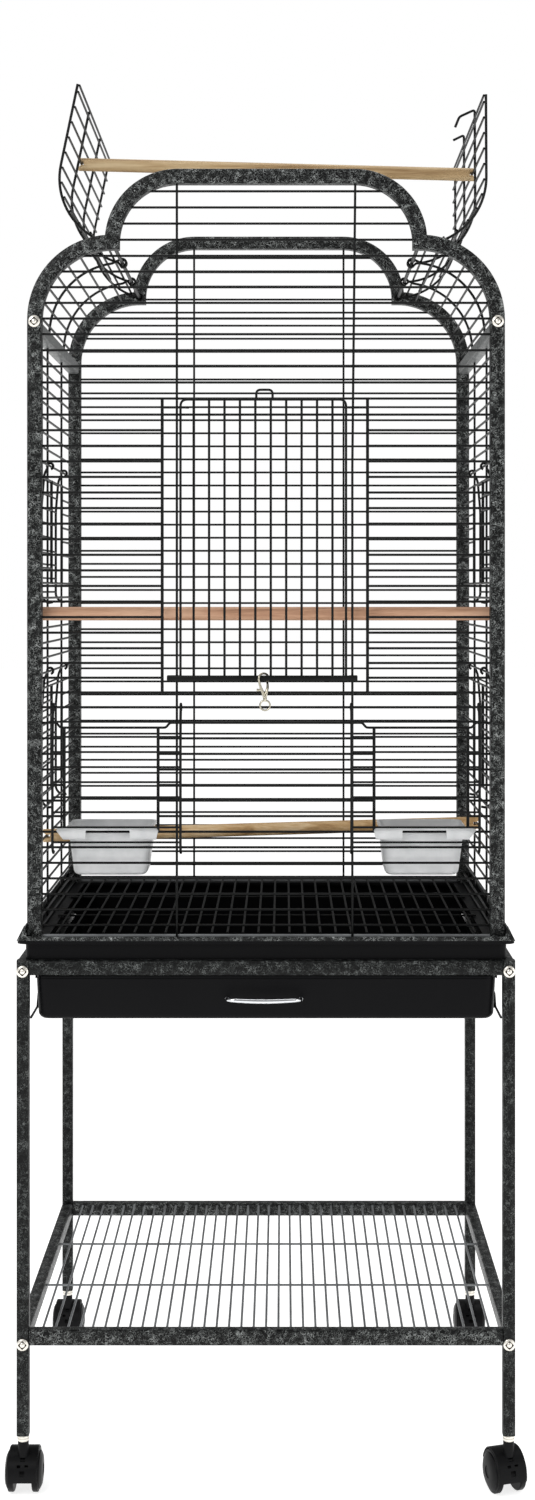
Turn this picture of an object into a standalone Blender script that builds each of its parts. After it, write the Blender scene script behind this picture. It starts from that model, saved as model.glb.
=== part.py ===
import math

import bmesh
import bpy
from mathutils import Matrix, Vector

# A rolling cage: an arched wire cage on a stand with a drawer, a wire shelf and four twin-wheel casters.
# Metres, Z up, the front faces -Y, the floor is Z = 0 and the origin is under the middle of the cage.

GAP = 0.0003                    # kept between pieces that touch

# Wire
WIRE_R = 0.00125                # panel wires, 2.5 mm
BAR_R = 0.0016                  # wires that edge an opening
DOOR_R = 0.0014                 # small door rods
DOOR_ROW_R = 0.0010
WIRE_SIDES = 3
WELD = 0.0003                   # how far crossing wires sink into each other
LIFT = 2 * WIRE_R - WELD        # uprights stand this far outside the rows
PITCH = 0.016

# Cage frame
TUBE = 0.015
CAGE_HALF_X = 0.245
CAGE_HALF_Y = 0.195
POST_X = CAGE_HALF_X - TUBE / 2
FACE_Y = CAGE_HALF_Y - TUBE / 2
POST_BOTTOM = 0.5663
POST_TOP = 1.201
SHOULDER_R = 0.0795
CROWN_R = 0.0675
NOTCH_X = POST_X - SHOULDER_R
NOTCH_Z = POST_TOP + SHOULDER_R
CROWN_X = NOTCH_X - CROWN_R
CROWN_Z = NOTCH_Z + CROWN_R
ARC_STEPS = 8
POST_INNER_Y = FACE_Y - TUBE / 2
RAIL_SIZE = 0.013
RAIL_TOP = 1.2005

# Panels
ROW_Z = 0.579
FRONT_ROWS = 48
SIDE_ROWS = 38
SILL_Z = 0.5682
LONG_X = 0.0916
SIDE_UPRIGHT_Y = 0.065

# Main door
OPENING_X = (-0.1068, 0.1043)
OPENING_ROWS = (15, 34)
DOOR_CUT = (16, 32)
DOOR_BOTTOM = 0.8302
DOOR_BAR_HIGH = 0.0057
DOOR_TOP = 1.119
DOOR_OUT = 0.0034
DOOR_WIRES = 12
DOOR_EDGE_X = 0.088
STAPLE_ROW = 33

# Feeder openings and small doors
FEEDER_X = (0.111, 0.2075)
FEEDER_ROWS = (6, 13)
FEEDER_DIP = 0.005
FLAP_DOOR_WIDTH = 0.131
FEEDER_HINGE_ROW = 14
SIDE_HINGE_ROWS = {"upper": 30, "lower": 16}
SIDE_OPENING_Y = (-0.049, 0.047)
FEEDER_DOOR_X = 0.15305
SIDE_DOOR_Y = 0.0048

# Roof flaps
FLAP_R = 0.070
FLAP_REACH = 0.155
FLAP_HALF_Y = 0.1765
FLAP_ARC_Y = 0.062
SHOULDER_ARC_Y = 0.068
FLAP_OPEN = {"left": 78.2, "right": 89.7}
HINGE_ROD_R = 0.002
RING_R = 0.0042
FLAP_FIRST_WIRE = 0.011
FLAP_WIRES = 12

# Perches
PERCH_R = 0.007
SLOT = 0.0036
SLOT_MOUTH = 0.0090             # the slot widens to this at the end, so that a swinging wire slips out
SLOT_FLARE = 0.0040             # length of the wide part

# Base
SKIRT_X = 0.2465
SKIRT_Y = 0.200
SKIRT_BOTTOM = 0.5463
SKIRT_TOP = 0.566
LIP = 0.0075

# Stand
LEG = 0.0127
LEG_X = 0.2477
LEG_Y = 0.2011
LEG_BOTTOM = 0.062
LEG_TOP = 0.546
TOP_RAIL_Z = (0.531, 0.546)
SHELF_RAIL_Z = (0.154, 0.1696)
SHELF_PITCH = 0.0127

# Drawer
DRAWER_BOTTOM = 0.488
DRAWER_TOP = 0.5298
DRAWER_FRONT = -0.205
DRAWER_BACK = 0.187
DRAWER_TOP_X = 0.234
DRAWER_WALL = 0.0025

# Casters
WHEEL_R = 0.0218
WHEEL_SIDES = 16
AXLE_Z = WHEEL_R * math.cos(math.pi / WHEEL_SIDES)
TRAIL = 0.010
HOOD_TOP = 0.049
CASTER_TURN = {"front_right": 17.0}


def clear_scene():
    for thing in list(bpy.data.objects):
        bpy.data.objects.remove(thing, do_unlink=True)


def material(name, colour, roughness, metallic=0.0, alpha=1.0):
    made = bpy.data.materials.get(name)
    if made is None:
        made = bpy.data.materials.new(name)
        made.use_nodes = True
        shader = made.node_tree.nodes["Principled BSDF"]
        shader.inputs["Base Color"].default_value = (*colour, 1.0)
        shader.inputs["Roughness"].default_value = roughness
        shader.inputs["Metallic"].default_value = metallic
        shader.inputs["Alpha"].default_value = alpha
    return made


def hammertone():
    return material("hammertone_paint", (0.06, 0.065, 0.06), 0.45, 0.5)


def wire_paint():
    return material("black_wire_paint", (0.02, 0.02, 0.02), 0.4, 0.3)


def black_plastic():
    return material("black_plastic", (0.015, 0.015, 0.016), 0.35)


def chrome():
    return material("chrome", (0.8, 0.8, 0.8), 0.12, 1.0)


def beech():
    return material("beech_dowel", (0.56, 0.36, 0.18), 0.6)


# Meshes from bmesh, joined where pieces are welded

def to_mesh(bm, name):
    bmesh.ops.remove_doubles(bm, verts=bm.verts, dist=0.000001)
    bmesh.ops.recalc_face_normals(bm, faces=bm.faces)
    mesh = bpy.data.meshes.new(name)
    bm.to_mesh(mesh)
    bm.free()
    return mesh


def fuse(name, meshes, operation="UNION"):
    """Weld closed meshes into one closed mesh, or cut the later ones out of the first."""
    base = bpy.data.objects.new(name + "_base", meshes[0])
    bpy.context.collection.objects.link(base)
    helpers = []
    for index, mesh in enumerate(meshes[1:]):
        helper = bpy.data.objects.new(f"{name}_helper_{index}", mesh)
        bpy.context.collection.objects.link(helper)
        helpers.append(helper)
        modifier = base.modifiers.new("weld", "BOOLEAN")
        modifier.operation = operation
        modifier.solver = "EXACT"
        modifier.object = helper
    graph = bpy.context.evaluated_depsgraph_get()
    welded = bpy.data.meshes.new_from_object(base.evaluated_get(graph))
    welded.name = name
    welded.materials.clear()
    for thing in [base] + helpers:
        bpy.data.objects.remove(thing, do_unlink=True)
    return welded


def make_node(name, mesh, finish, place=None, smooth=None):
    thing = bpy.data.objects.new(name, mesh)
    bpy.context.collection.objects.link(thing)
    if place is not None:
        thing.matrix_world = place
    if not mesh.materials:
        mesh.materials.append(finish)
    if smooth is not None:
        mesh.shade_smooth()
        mesh.set_sharp_from_angle(angle=math.radians(smooth))
    return thing


def at(position, turn=0.0, axis="Z"):
    return Matrix.Translation(position) @ Matrix.Rotation(math.radians(turn), 4, axis)


# Forms

def add_box(bm, low, high):
    corners = [(x, y, z) for x in (low[0], high[0]) for y in (low[1], high[1]) for z in (low[2], high[2])]
    v = [bm.verts.new(corner) for corner in corners]
    for face in ((0, 1, 3, 2), (4, 6, 7, 5), (0, 4, 5, 1), (2, 3, 7, 6), (0, 2, 6, 4), (1, 5, 7, 3)):
        bm.faces.new([v[i] for i in face])


def tube_mesh(name, low, high, bevel):
    """A straight square tube with its four long edges eased."""
    bm = bmesh.new()
    add_box(bm, low, high)
    longest = max(range(3), key=lambda i: high[i] - low[i])
    edges = [e for e in bm.edges if abs((e.verts[0].co - e.verts[1].co)[longest]) > bevel]
    bmesh.ops.bevel(bm, geom=edges, offset=bevel, segments=1, affect="EDGES", profile=0.5)
    return to_mesh(bm, name)


def loft(bm, rings, closed=False):
    """Join rings of points that have the same count, and cap the two ends unless the loft is a loop."""
    loops = [[bm.verts.new(point) for point in ring] for ring in rings]
    pairs = list(zip(loops, loops[1:]))
    if closed:
        pairs.append((loops[-1], loops[0]))
    for low, high in pairs:
        for i in range(len(low)):
            j = (i + 1) % len(low)
            bm.faces.new((low[i], low[j], high[j], high[i]))
    if not closed:
        bm.faces.new(loops[0])
        bm.faces.new(loops[-1])


def extrude_outline(bm, outline, direction):
    """Thicken a flat outline of 3D points along a direction."""
    shift = Vector(direction)
    loft(bm, [outline, [Vector(point) + shift for point in outline]])


def sweep(bm, points, radius, side, sides=WIRE_SIDES, start_angle=0.0, loop=False):
    """Run a round or polygonal section along a flat path whose plane has the normal side."""
    path = [Vector(point) for point in points]
    normal = Vector(side).normalized()
    rings = []
    for i, point in enumerate(path):
        before = path[i] - path[i - 1] if i or loop else path[1] - path[0]
        after = path[(i + 1) % len(path)] - path[i] if i < len(path) - 1 or loop else before
        before, after = before.normalized(), after.normalized()
        tangent = (before + after).normalized()
        spread = 1.0 / max(tangent.dot(after), 0.4)
        across = normal.cross(tangent)
        ring = []
        for k in range(sides):
            angle = start_angle + 2 * math.pi * k / sides
            sideways = across * (math.cos(angle) * radius * spread)
            ring.append(point + sideways + normal * (math.sin(angle) * radius))
        rings.append(ring)
    loft(bm, rings, closed=loop)


def bar(bm, start, end, radius, ridge, sides=WIRE_SIDES):
    """A straight wire whose ridge points the given way."""
    start, end = Vector(start), Vector(end)
    along = (end - start).normalized()
    up = Vector(ridge).normalized()
    across = along.cross(up)
    rings = []
    for point in (start, end):
        ring = []
        for k in range(sides):
            angle = 2 * math.pi * k / sides
            ring.append(point + up * (math.cos(angle) * radius) + across * (math.sin(angle) * radius))
        rings.append(ring)
    loft(bm, rings)


def arc(centre, radius, start, end, steps):
    """Points (a, b) on an arc, angles in degrees."""
    points = []
    for i in range(steps + 1):
        angle = math.radians(start + (end - start) * i / steps)
        points.append((centre[0] + radius * math.cos(angle), centre[1] + radius * math.sin(angle)))
    return points


def rounded_ring(half_x, half_y, corner, z, centre=(0.0, 0.0), steps=3):
    ring = []
    for sx, sy, first in ((1, 1, 0), (-1, 1, 90), (-1, -1, 180), (1, -1, 270)):
        middle = (centre[0] + sx * (half_x - corner), centre[1] + sy * (half_y - corner))
        ring += [(x, y, z) for x, y in arc(middle, corner, first, first + 90, steps)]
    return ring


def row_z(k):
    return ROW_Z + PITCH * k


# Arched frames

def arch_path():
    """Centreline of half the arch from the foot to the crown, as (x, z)."""
    half = [(POST_X, POST_BOTTOM)]
    half += arc((NOTCH_X, POST_TOP), SHOULDER_R, 0, 90, ARC_STEPS)
    half += arc((CROWN_X, NOTCH_Z), CROWN_R, 0, 90, ARC_STEPS)[1:]
    return half


def build_arch(name, y):
    half = arch_path()
    path = [(x, 0, z) for x, z in half] + [(-x, 0, z) for x, z in reversed(half)]
    bm = bmesh.new()
    corner = TUBE / math.sqrt(2)
    sweep(bm, path, corner, (0, 1, 0), sides=4, start_angle=math.pi / 4)
    make_node(name, to_mesh(bm, name), hammertone(), at((0, y, 0)))


def inner_half(z, radius):
    """Half width between the arch tubes for a wire of the given radius at height z."""
    slack = 0.0008
    reach = TUBE / 2 + slack
    high = z + radius
    if high <= POST_TOP:
        return POST_X - TUBE / 2 - GAP
    if high < NOTCH_Z - TUBE / 2 - slack:
        limit = SHOULDER_R - reach
        return NOTCH_X + math.sqrt(limit ** 2 - (high - POST_TOP) ** 2)
    if high < NOTCH_Z:
        return NOTCH_X - reach
    limit = CROWN_R - reach
    return CROWN_X + math.sqrt(limit ** 2 - (high - NOTCH_Z) ** 2)


# Wire panels, made in a frame where x runs along the panel, -y points out of the cage and z is up

def out(distance):
    return -distance


def add_row(bm, spans, z, radius=WIRE_R):
    for start, end in spans:
        bar(bm, (start, 0, z), (end, 0, z), radius, (0, -1, 0))


def add_upright(bm, x, low, high, offset=LIFT, radius=WIRE_R, ridge=1):
    bar(bm, (x, out(offset), low), (x, out(offset), high), radius, (0, ridge, 0))


def cut_span(spans, low, high):
    """Take the stretch between two edge bars out of the spans of a row."""
    bite = 0.0001
    left = []
    for start, end in spans:
        if high <= start or low >= end:
            left.append((start, end))
            continue
        left.append((start, low - bite))
        left.append((high + bite, end))
    return left


def dipped_row(bm, half, z):
    """The row over the feeder openings steps down across each opening."""
    lean = 0.004
    dip = z - FEEDER_DIP
    inner, outer = FEEDER_X[0] - 0.008, FEEDER_X[1] + 0.004
    right = [(inner - lean, z), (inner, dip), (outer, dip), (outer + lean, z), (half, z)]
    path = [(-x, 0, height) for x, height in reversed(right)] + [(x, 0, height) for x, height in right]
    sweep(bm, path, WIRE_R, (0, 1, 0), start_angle=math.pi / 2 * 3)


def staple(bm, side):
    """A wire guide that holds the sliding door against the panel."""
    z = row_z(STAPLE_ROW) + 0.0035
    start = OPENING_X[0] if side < 0 else OPENING_X[1]
    inward = -side
    edge = side * DOOR_EDGE_X
    reach = 0.0064
    path = [
        (start, out(-0.0005), z),
        (start, out(reach), z),
        (edge + inward * 0.0055, out(reach), z),
        (edge + inward * 0.0085, out(0.0040), z),
    ]
    sweep(bm, path, 0.0011, (0, 0, 1))


def front_panel_mesh():
    rows, uprights, staples = bmesh.new(), bmesh.new(), bmesh.new()
    for k in range(FRONT_ROWS):
        z = row_z(k)
        half = inner_half(z, WIRE_R)
        spans = [(-half, half)]
        if DOOR_CUT[0] <= k <= DOOR_CUT[1]:
            spans = cut_span(spans, *OPENING_X)
        if FEEDER_ROWS[0] < k < FEEDER_ROWS[1]:
            spans = cut_span(spans, FEEDER_X[0], FEEDER_X[1])
            spans = cut_span(spans, -FEEDER_X[1], -FEEDER_X[0])
        if k == FEEDER_ROWS[1]:
            dipped_row(rows, half, z)
        else:
            add_row(rows, spans, z)
    add_row(rows, [(-POST_X + TUBE / 2 + GAP, POST_X - TUBE / 2 - GAP)], SILL_Z, BAR_R)
    top = CROWN_Z - TUBE / 2 - 0.0006
    for x in (-LONG_X, LONG_X):
        add_upright(uprights, x, SILL_Z - WIRE_R, top)
    over = 0.0006
    for x in OPENING_X:
        low, high = row_z(OPENING_ROWS[0]) - over, row_z(OPENING_ROWS[1]) + over
        add_upright(uprights, x, low, high, offset=0.0, radius=BAR_R, ridge=-1)
    for x in FEEDER_X:
        for side in (-1, 1):
            low = row_z(FEEDER_ROWS[0]) - over
            high = row_z(FEEDER_ROWS[1]) - FEEDER_DIP + over
            add_upright(uprights, side * x, low, high, offset=0.0, radius=BAR_R, ridge=-1)
    for side in (-1, 1):
        staple(staples, side)
    parts = [to_mesh(rows, "rows"), to_mesh(uprights, "uprights"), to_mesh(staples, "staples")]
    return fuse("front_wire_panel", parts)


def rear_panel_mesh():
    rows, uprights = bmesh.new(), bmesh.new()
    for k in range(FRONT_ROWS):
        half = inner_half(row_z(k), WIRE_R)
        add_row(rows, [(-half, half)], row_z(k))
    add_row(rows, [(-POST_X + TUBE / 2 + GAP, POST_X - TUBE / 2 - GAP)], SILL_Z, BAR_R)
    for x in (-LONG_X, LONG_X):
        add_upright(uprights, x, SILL_Z - WIRE_R, CROWN_Z - TUBE / 2 - 0.0006)
    return fuse("rear_wire_panel", [to_mesh(rows, "rows"), to_mesh(uprights, "uprights")])


def side_panel_mesh(name, opening):
    rows, uprights = bmesh.new(), bmesh.new()
    half = POST_INNER_Y - GAP
    for k in range(SIDE_ROWS):
        spans = [(-half, half)]
        for hinge in SIDE_HINGE_ROWS.values():
            if hinge - 7 <= k <= hinge - 2:
                spans = cut_span(spans, *opening)
        add_row(rows, spans, row_z(k))
    add_row(rows, [(-half, half)], SILL_Z, BAR_R)
    for y in (-SIDE_UPRIGHT_Y, SIDE_UPRIGHT_Y):
        add_upright(uprights, y, SILL_Z - WIRE_R, RAIL_TOP - RAIL_SIZE - GAP)
    over = 0.0006
    for hinge in SIDE_HINGE_ROWS.values():
        for y in opening:
            low, high = row_z(hinge - 8) - over, row_z(hinge - 1) + over
            add_upright(uprights, y, low, high, offset=0.0, radius=BAR_R, ridge=-1)
    return fuse(name, [to_mesh(rows, "rows"), to_mesh(uprights, "uprights")])


def build_panels():
    make_node("front_wire_panel", front_panel_mesh(), wire_paint(), at((0, -FACE_Y, 0)))
    make_node("rear_wire_panel", rear_panel_mesh(), wire_paint(), at((0, FACE_Y, 0), 180))
    low, high = SIDE_OPENING_Y
    right = side_panel_mesh("right_wire_panel", (low, high))
    left = side_panel_mesh("left_wire_panel", (-high, -low))
    make_node("right_wire_panel", right, wire_paint(), at((POST_X, 0, 0), 90))
    make_node("left_wire_panel", left, wire_paint(), at((-POST_X, 0, 0), -90))


# Small doors that hang on a row and hook under a lower one

def flap_door_mesh():
    """Origin on the hinge row, x across, -y outward."""
    half = FLAP_DOOR_WIDTH / 2
    rod = arc((0, 0), 0.0034, 255, -30, 5)
    rod += [(0.0065, -0.009), (0.0095, -0.045), (0.0095, -0.143), (0.0030, -0.1500), (-0.0030, -0.1486)]
    rods, rows = bmesh.new(), bmesh.new()
    for side in (-1, 1):
        path = [(side * half, out(a), b) for a, b in rod]
        sweep(rods, path, DOOR_R, (1, 0, 0), start_angle=side * math.pi / 2)
    for i in range(9):
        z = -0.0145 - 0.0154 * i
        lean = min(1.0, max(0.0, (-z - 0.009) / 0.036))
        offset = 0.0065 + 0.0030 * lean
        end = half - 0.0005
        bar(rows, (-end, out(offset), z), (end, out(offset), z), DOOR_ROW_R, (0, -1, 0))
    return fuse("small_door", [to_mesh(rods, "rods"), to_mesh(rows, "rows")])


def build_small_doors():
    mesh = flap_door_mesh()
    for name, side in (("left_feeder_door", -1), ("right_feeder_door", 1)):
        make_node(name, mesh, wire_paint(), at((side * FEEDER_DOOR_X, -FACE_Y, row_z(FEEDER_HINGE_ROW))))
    for level, k in SIDE_HINGE_ROWS.items():
        make_node(f"left_{level}_door", mesh, wire_paint(), at((-POST_X, SIDE_DOOR_Y, row_z(k)), -90))
        make_node(f"right_{level}_door", mesh, wire_paint(), at((POST_X, SIDE_DOOR_Y, row_z(k)), 90))


# Main door

def door_bar_outline():
    """Plan of the bottom bar: both ends hook round behind the long uprights."""
    front, back = 0.0084, 0.0039
    tail = 0.0005
    deep = -0.0026
    left, right = -0.1024, 0.0963 + 0.0061
    wall = 0.0045
    catch = 0.0880
    outline = [
        (left, front), (right, front), (right, deep), (catch, deep), (catch, tail),
        (right - wall, tail), (right - wall, back), (left + wall, back), (left + wall, tail),
        (-catch, tail), (-catch, deep), (left, deep),
    ]
    return [(x, out(y), 0) for x, y in outline]


def build_main_door():
    bars, bottom, extras = bmesh.new(), bmesh.new(), bmesh.new()
    pitch = 2 * DOOR_EDGE_X / (DOOR_WIRES - 1)
    foot = DOOR_BOTTOM + 0.0025
    for i in range(1, DOOR_WIRES - 1):
        x = -DOOR_EDGE_X + pitch * i
        add_upright(bars, x, foot, DOOR_TOP + 0.0001, offset=DOOR_OUT)
    bend = 0.006
    hoop = [(-DOOR_EDGE_X, out(DOOR_OUT), foot)]
    hoop += [(x, out(DOOR_OUT), z) for x, z in arc((-DOOR_EDGE_X + bend, DOOR_TOP - bend), bend, 180, 90, 3)]
    hoop += [(x, out(DOOR_OUT), z) for x, z in arc((DOOR_EDGE_X - bend, DOOR_TOP - bend), bend, 90, 0, 3)]
    hoop += [(DOOR_EDGE_X, out(DOOR_OUT), foot)]
    sweep(extras, hoop, WIRE_R, (0, 1, 0), sides=4, start_angle=math.pi / 4)
    outline = [Vector(p) + Vector((0, 0, DOOR_BOTTOM)) for p in door_bar_outline()]
    extrude_outline(bottom, outline, (0, 0, DOOR_BAR_HIGH))
    loop = bmesh.new()
    handle = [(-0.010, DOOR_TOP - 0.0002), (-0.010, DOOR_TOP + 0.006), (-0.006, DOOR_TOP + 0.010)]
    handle += [(0.0027, DOOR_TOP + 0.010), (0.0067, DOOR_TOP + 0.006), (0.0067, DOOR_TOP - 0.0002)]
    sweep(loop, [(x, out(DOOR_OUT), z) for x, z in handle], WIRE_R, (0, 1, 0))
    parts = [to_mesh(extras, "hoop"), to_mesh(bars, "bars"), to_mesh(bottom, "bottom"), to_mesh(loop, "loop")]
    make_node("main_door", fuse("main_door", parts), wire_paint(), at((0, -FACE_Y, 0)))


def build_snap_clip():
    """A lobster hook round the door's bottom bar, with a swivel ring below it."""
    middle_y, middle_z = 0.00615, DOOR_BOTTOM + 0.00285
    wire = 0.0015
    hook, body, ring = bmesh.new(), bmesh.new(), bmesh.new()
    curl = arc((middle_y, middle_z), 0.0056, 230, -58, 9)
    sweep(hook, [(-0.002, out(a), b) for a, b in curl], wire, (1, 0, 0), sides=6)
    front = 0.0105
    outline = [(0.0025, -0.006), (0.0045, -0.011), (0.0025, -0.016), (0.0005, -0.018), (0.0005, -0.0225)]
    outline += [(-0.0025, -0.0225), (-0.0025, -0.018), (-0.0065, -0.016), (-0.0085, -0.011)]
    outline += [(-0.0065, -0.0045), (-0.002, -0.0032)]
    shifted = [(x, out(front - 0.0018), middle_z + z) for x, z in outline]
    extrude_outline(body, shifted, (0, out(0.0036), 0))
    circle = [(x, out(front), z) for x, z in arc((-0.001, 0.8055), 0.0055, 0, 330, 11)]
    sweep(ring, circle, 0.0012, (0, 1, 0), sides=6, loop=True)
    mesh = fuse("snap_clip", [to_mesh(body, "body"), to_mesh(hook, "hook"), to_mesh(ring, "ring")])
    place = at((0, -FACE_Y + out(middle_y), middle_z))
    mesh.transform(Matrix.Translation((0, -middle_y, middle_z)).inverted())
    make_node("snap_clip", mesh, chrome(), place, smooth=40)


# Roof: hinge rods, shoulder panels and the two flaps

def build_side_rails():
    centre = CAGE_HALF_X - RAIL_SIZE / 2
    half_y = POST_INNER_Y - GAP
    for name, side in (("left_shoulder_rail", -1), ("right_shoulder_rail", 1)):
        x = side * centre
        low = (x - RAIL_SIZE / 2, -half_y, RAIL_TOP - RAIL_SIZE)
        high = (x + RAIL_SIZE / 2, half_y, RAIL_TOP)
        paint = material("grey_paint", (0.35, 0.35, 0.35), 0.4, 0.4)
        make_node(name, tube_mesh(name, low, high, 0.001), paint)


def build_hinge_rods():
    for name, side in (("left_roof_hinge_rod", -1), ("right_roof_hinge_rod", 1)):
        bm = bmesh.new()
        half = POST_INNER_Y - GAP
        start, end = [(side * NOTCH_X, y, NOTCH_Z) for y in (-half, half)]
        bar(bm, start, end, HINGE_ROD_R, (0, 0, 1), 10)
        make_node(name, to_mesh(bm, name), wire_paint(), smooth=40)


def hinge_ring(first, last, steps):
    return arc((0, 0), RING_R, first, last, steps)


def shoulder_mesh():
    """The right shoulder panel, origin on the hinge rod, x outward."""
    hoops, wires = bmesh.new(), bmesh.new()
    start = math.degrees(0.0008 / SHOULDER_R)
    path = arc((0, -SHOULDER_R), SHOULDER_R, start, 80, 8)
    path += [(0.0045, 0.0032)] + hinge_ring(75, 300, 5)
    for y in (-SHOULDER_ARC_Y, SHOULDER_ARC_Y):
        sweep(hoops, [(x, y, z) for x, z in path], DOOR_R, (0, 1, 0), start_angle=math.pi)
    half = POST_INNER_Y - GAP
    inside = SHOULDER_R - LIFT - 0.0001
    for k in range(7):
        angle = (0.007 + PITCH * k) / SHOULDER_R
        x, z = inside * math.cos(angle), -SHOULDER_R + inside * math.sin(angle)
        outward = (math.cos(angle), 0, math.sin(angle))
        bar(wires, (x, -half, z), (x, half, z), WIRE_R, outward)
    return fuse("shoulder_panel", [to_mesh(wires, "wires"), to_mesh(hoops, "hoops")])


def mirrored(mesh, name):
    copy = mesh.copy()
    copy.name = name
    copy.transform(Matrix.Scale(-1, 4, (1, 0, 0)))
    copy.flip_normals()
    return copy


def build_shoulders():
    right = shoulder_mesh()
    left = mirrored(right, "left_shoulder_panel")
    make_node("right_shoulder_panel", right, wire_paint(), at((NOTCH_X, 0, NOTCH_Z)))
    make_node("left_shoulder_panel", left, wire_paint(), at((-NOTCH_X, 0, NOTCH_Z)))


def flap_point(length, inset=0.0):
    """A point on the closed flap's profile at a length along it, and the outward direction there."""
    quarter = FLAP_R * math.pi / 2
    if length < quarter:
        angle = length / FLAP_R
        direction = (-math.cos(angle), math.sin(angle))
        x = FLAP_R - (FLAP_R - inset) * math.cos(angle)
        return x, (FLAP_R - inset) * math.sin(angle), direction
    return FLAP_R + length - quarter, FLAP_R - inset, (0.0, 1.0)


def flap_hoop(latch):
    """The closed flap's side view from the eye round the hinge rod to the free edge."""
    path = hinge_ring(60, -180, 5)
    path += arc((FLAP_R, 0), FLAP_R, 174, 90, 7)
    path += [(FLAP_REACH, FLAP_R)]
    if latch == "long":
        path += [(0.168, 0.070), (0.1605, 0.0532), (0.149, 0.0485)]
    if latch == "short":
        path += [(0.170, 0.070), (0.164, 0.0576)]
    return path


def flap_mesh(name, latches):
    """A flap in its closed place, origin on the hinge rod, x towards the middle of the cage."""
    hoops, wires = bmesh.new(), bmesh.new()
    long_y, short_y = -FLAP_ARC_Y, FLAP_ARC_Y
    for y in (-FLAP_HALF_Y, long_y, short_y, FLAP_HALF_Y):
        latch = ""
        if latches and y == long_y:
            latch = "long"
        if latches and y == short_y:
            latch = "short"
        sweep(hoops, [(x, y, z) for x, z in flap_hoop(latch)], DOOR_R, (0, 1, 0))
    lengths = [FLAP_FIRST_WIRE + PITCH * k for k in range(FLAP_WIRES)]
    lengths.append(FLAP_R * math.pi / 2 + FLAP_REACH - FLAP_R - 0.0012)
    half = FLAP_HALF_Y + 0.0010
    for length in lengths:
        x, z, direction = flap_point(length, LIFT)
        bar(wires, (x, -half, z), (x, half, z), WIRE_R, (direction[0], 0, direction[1]))
    return fuse(name, [to_mesh(wires, "wires"), to_mesh(hoops, "hoops")])


def build_flaps():
    left = flap_mesh("left_roof_flap", latches=False)
    right = mirrored(flap_mesh("right_roof_flap", latches=True), "right_roof_flap")
    make_node("left_roof_flap", left, wire_paint(), at((-NOTCH_X, 0, NOTCH_Z), -FLAP_OPEN["left"], "Y"))
    make_node("right_roof_flap", right, wire_paint(), at((NOTCH_X, 0, NOTCH_Z), FLAP_OPEN["right"], "Y"))


# Perches with slotted ends

def perch_mesh(name, start, end, slot_depth):
    """A dowel whose slots let a wire that runs front to back pass through each end."""
    bm = bmesh.new()
    bar(bm, start, end, PERCH_R, (0, 0, 1), sides=16)
    cutters = []
    for tip, sign in ((start, -1), (end, 1)):
        cutter = bmesh.new()
        spread = (SLOT_MOUTH - SLOT) / 2 / SLOT_FLARE
        far = 0.002
        upper = [(-slot_depth, SLOT / 2), (-SLOT_FLARE, SLOT / 2), (far, SLOT_MOUTH / 2 + spread * far)]
        outline = upper + [(x, -z) for x, z in reversed(upper)]
        extrude_outline(cutter, [(tip[0] + sign * x, tip[1] - 0.03, tip[2] + z) for x, z in outline], (0, 0.06, 0))
        cutters.append(to_mesh(cutter, "slot"))
    return fuse(name, [to_mesh(bm, name)] + cutters, "DIFFERENCE")


def flap_wire_place(side, index):
    """World place of one of the cross wires of an open flap, as (x, z)."""
    x, z, _ = flap_point(FLAP_FIRST_WIRE + PITCH * index, LIFT)
    angle = math.radians(FLAP_OPEN[side])
    across = x * math.cos(angle) - z * math.sin(angle)
    height = x * math.sin(angle) + z * math.cos(angle)
    sign = -1 if side == "left" else 1
    return sign * (NOTCH_X - across), NOTCH_Z + height


def build_perches():
    grip = 0.0035
    left_x, left_z = flap_wire_place("left", 8)
    right_x, right_z = flap_wire_place("right", 8)
    start, end = (left_x - grip, -0.052, left_z), (right_x + grip, -0.052, right_z)
    make_node("top_perch", perch_mesh("top_perch", start, end, 0.0065), beech(), smooth=40)
    reach = POST_X + 0.0035
    z = row_z(20)
    middle = perch_mesh("middle_perch", (-reach, -0.170, z), (reach, -0.170, z), 0.0065)
    make_node("middle_perch", middle, beech(), smooth=40)
    z = row_z(5)
    lower = perch_mesh("lower_perch", (-reach, -0.095, z), (reach, 0.020, z), 0.0080)
    make_node("lower_perch", lower, beech(), smooth=40)


# Feeder cups

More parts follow.
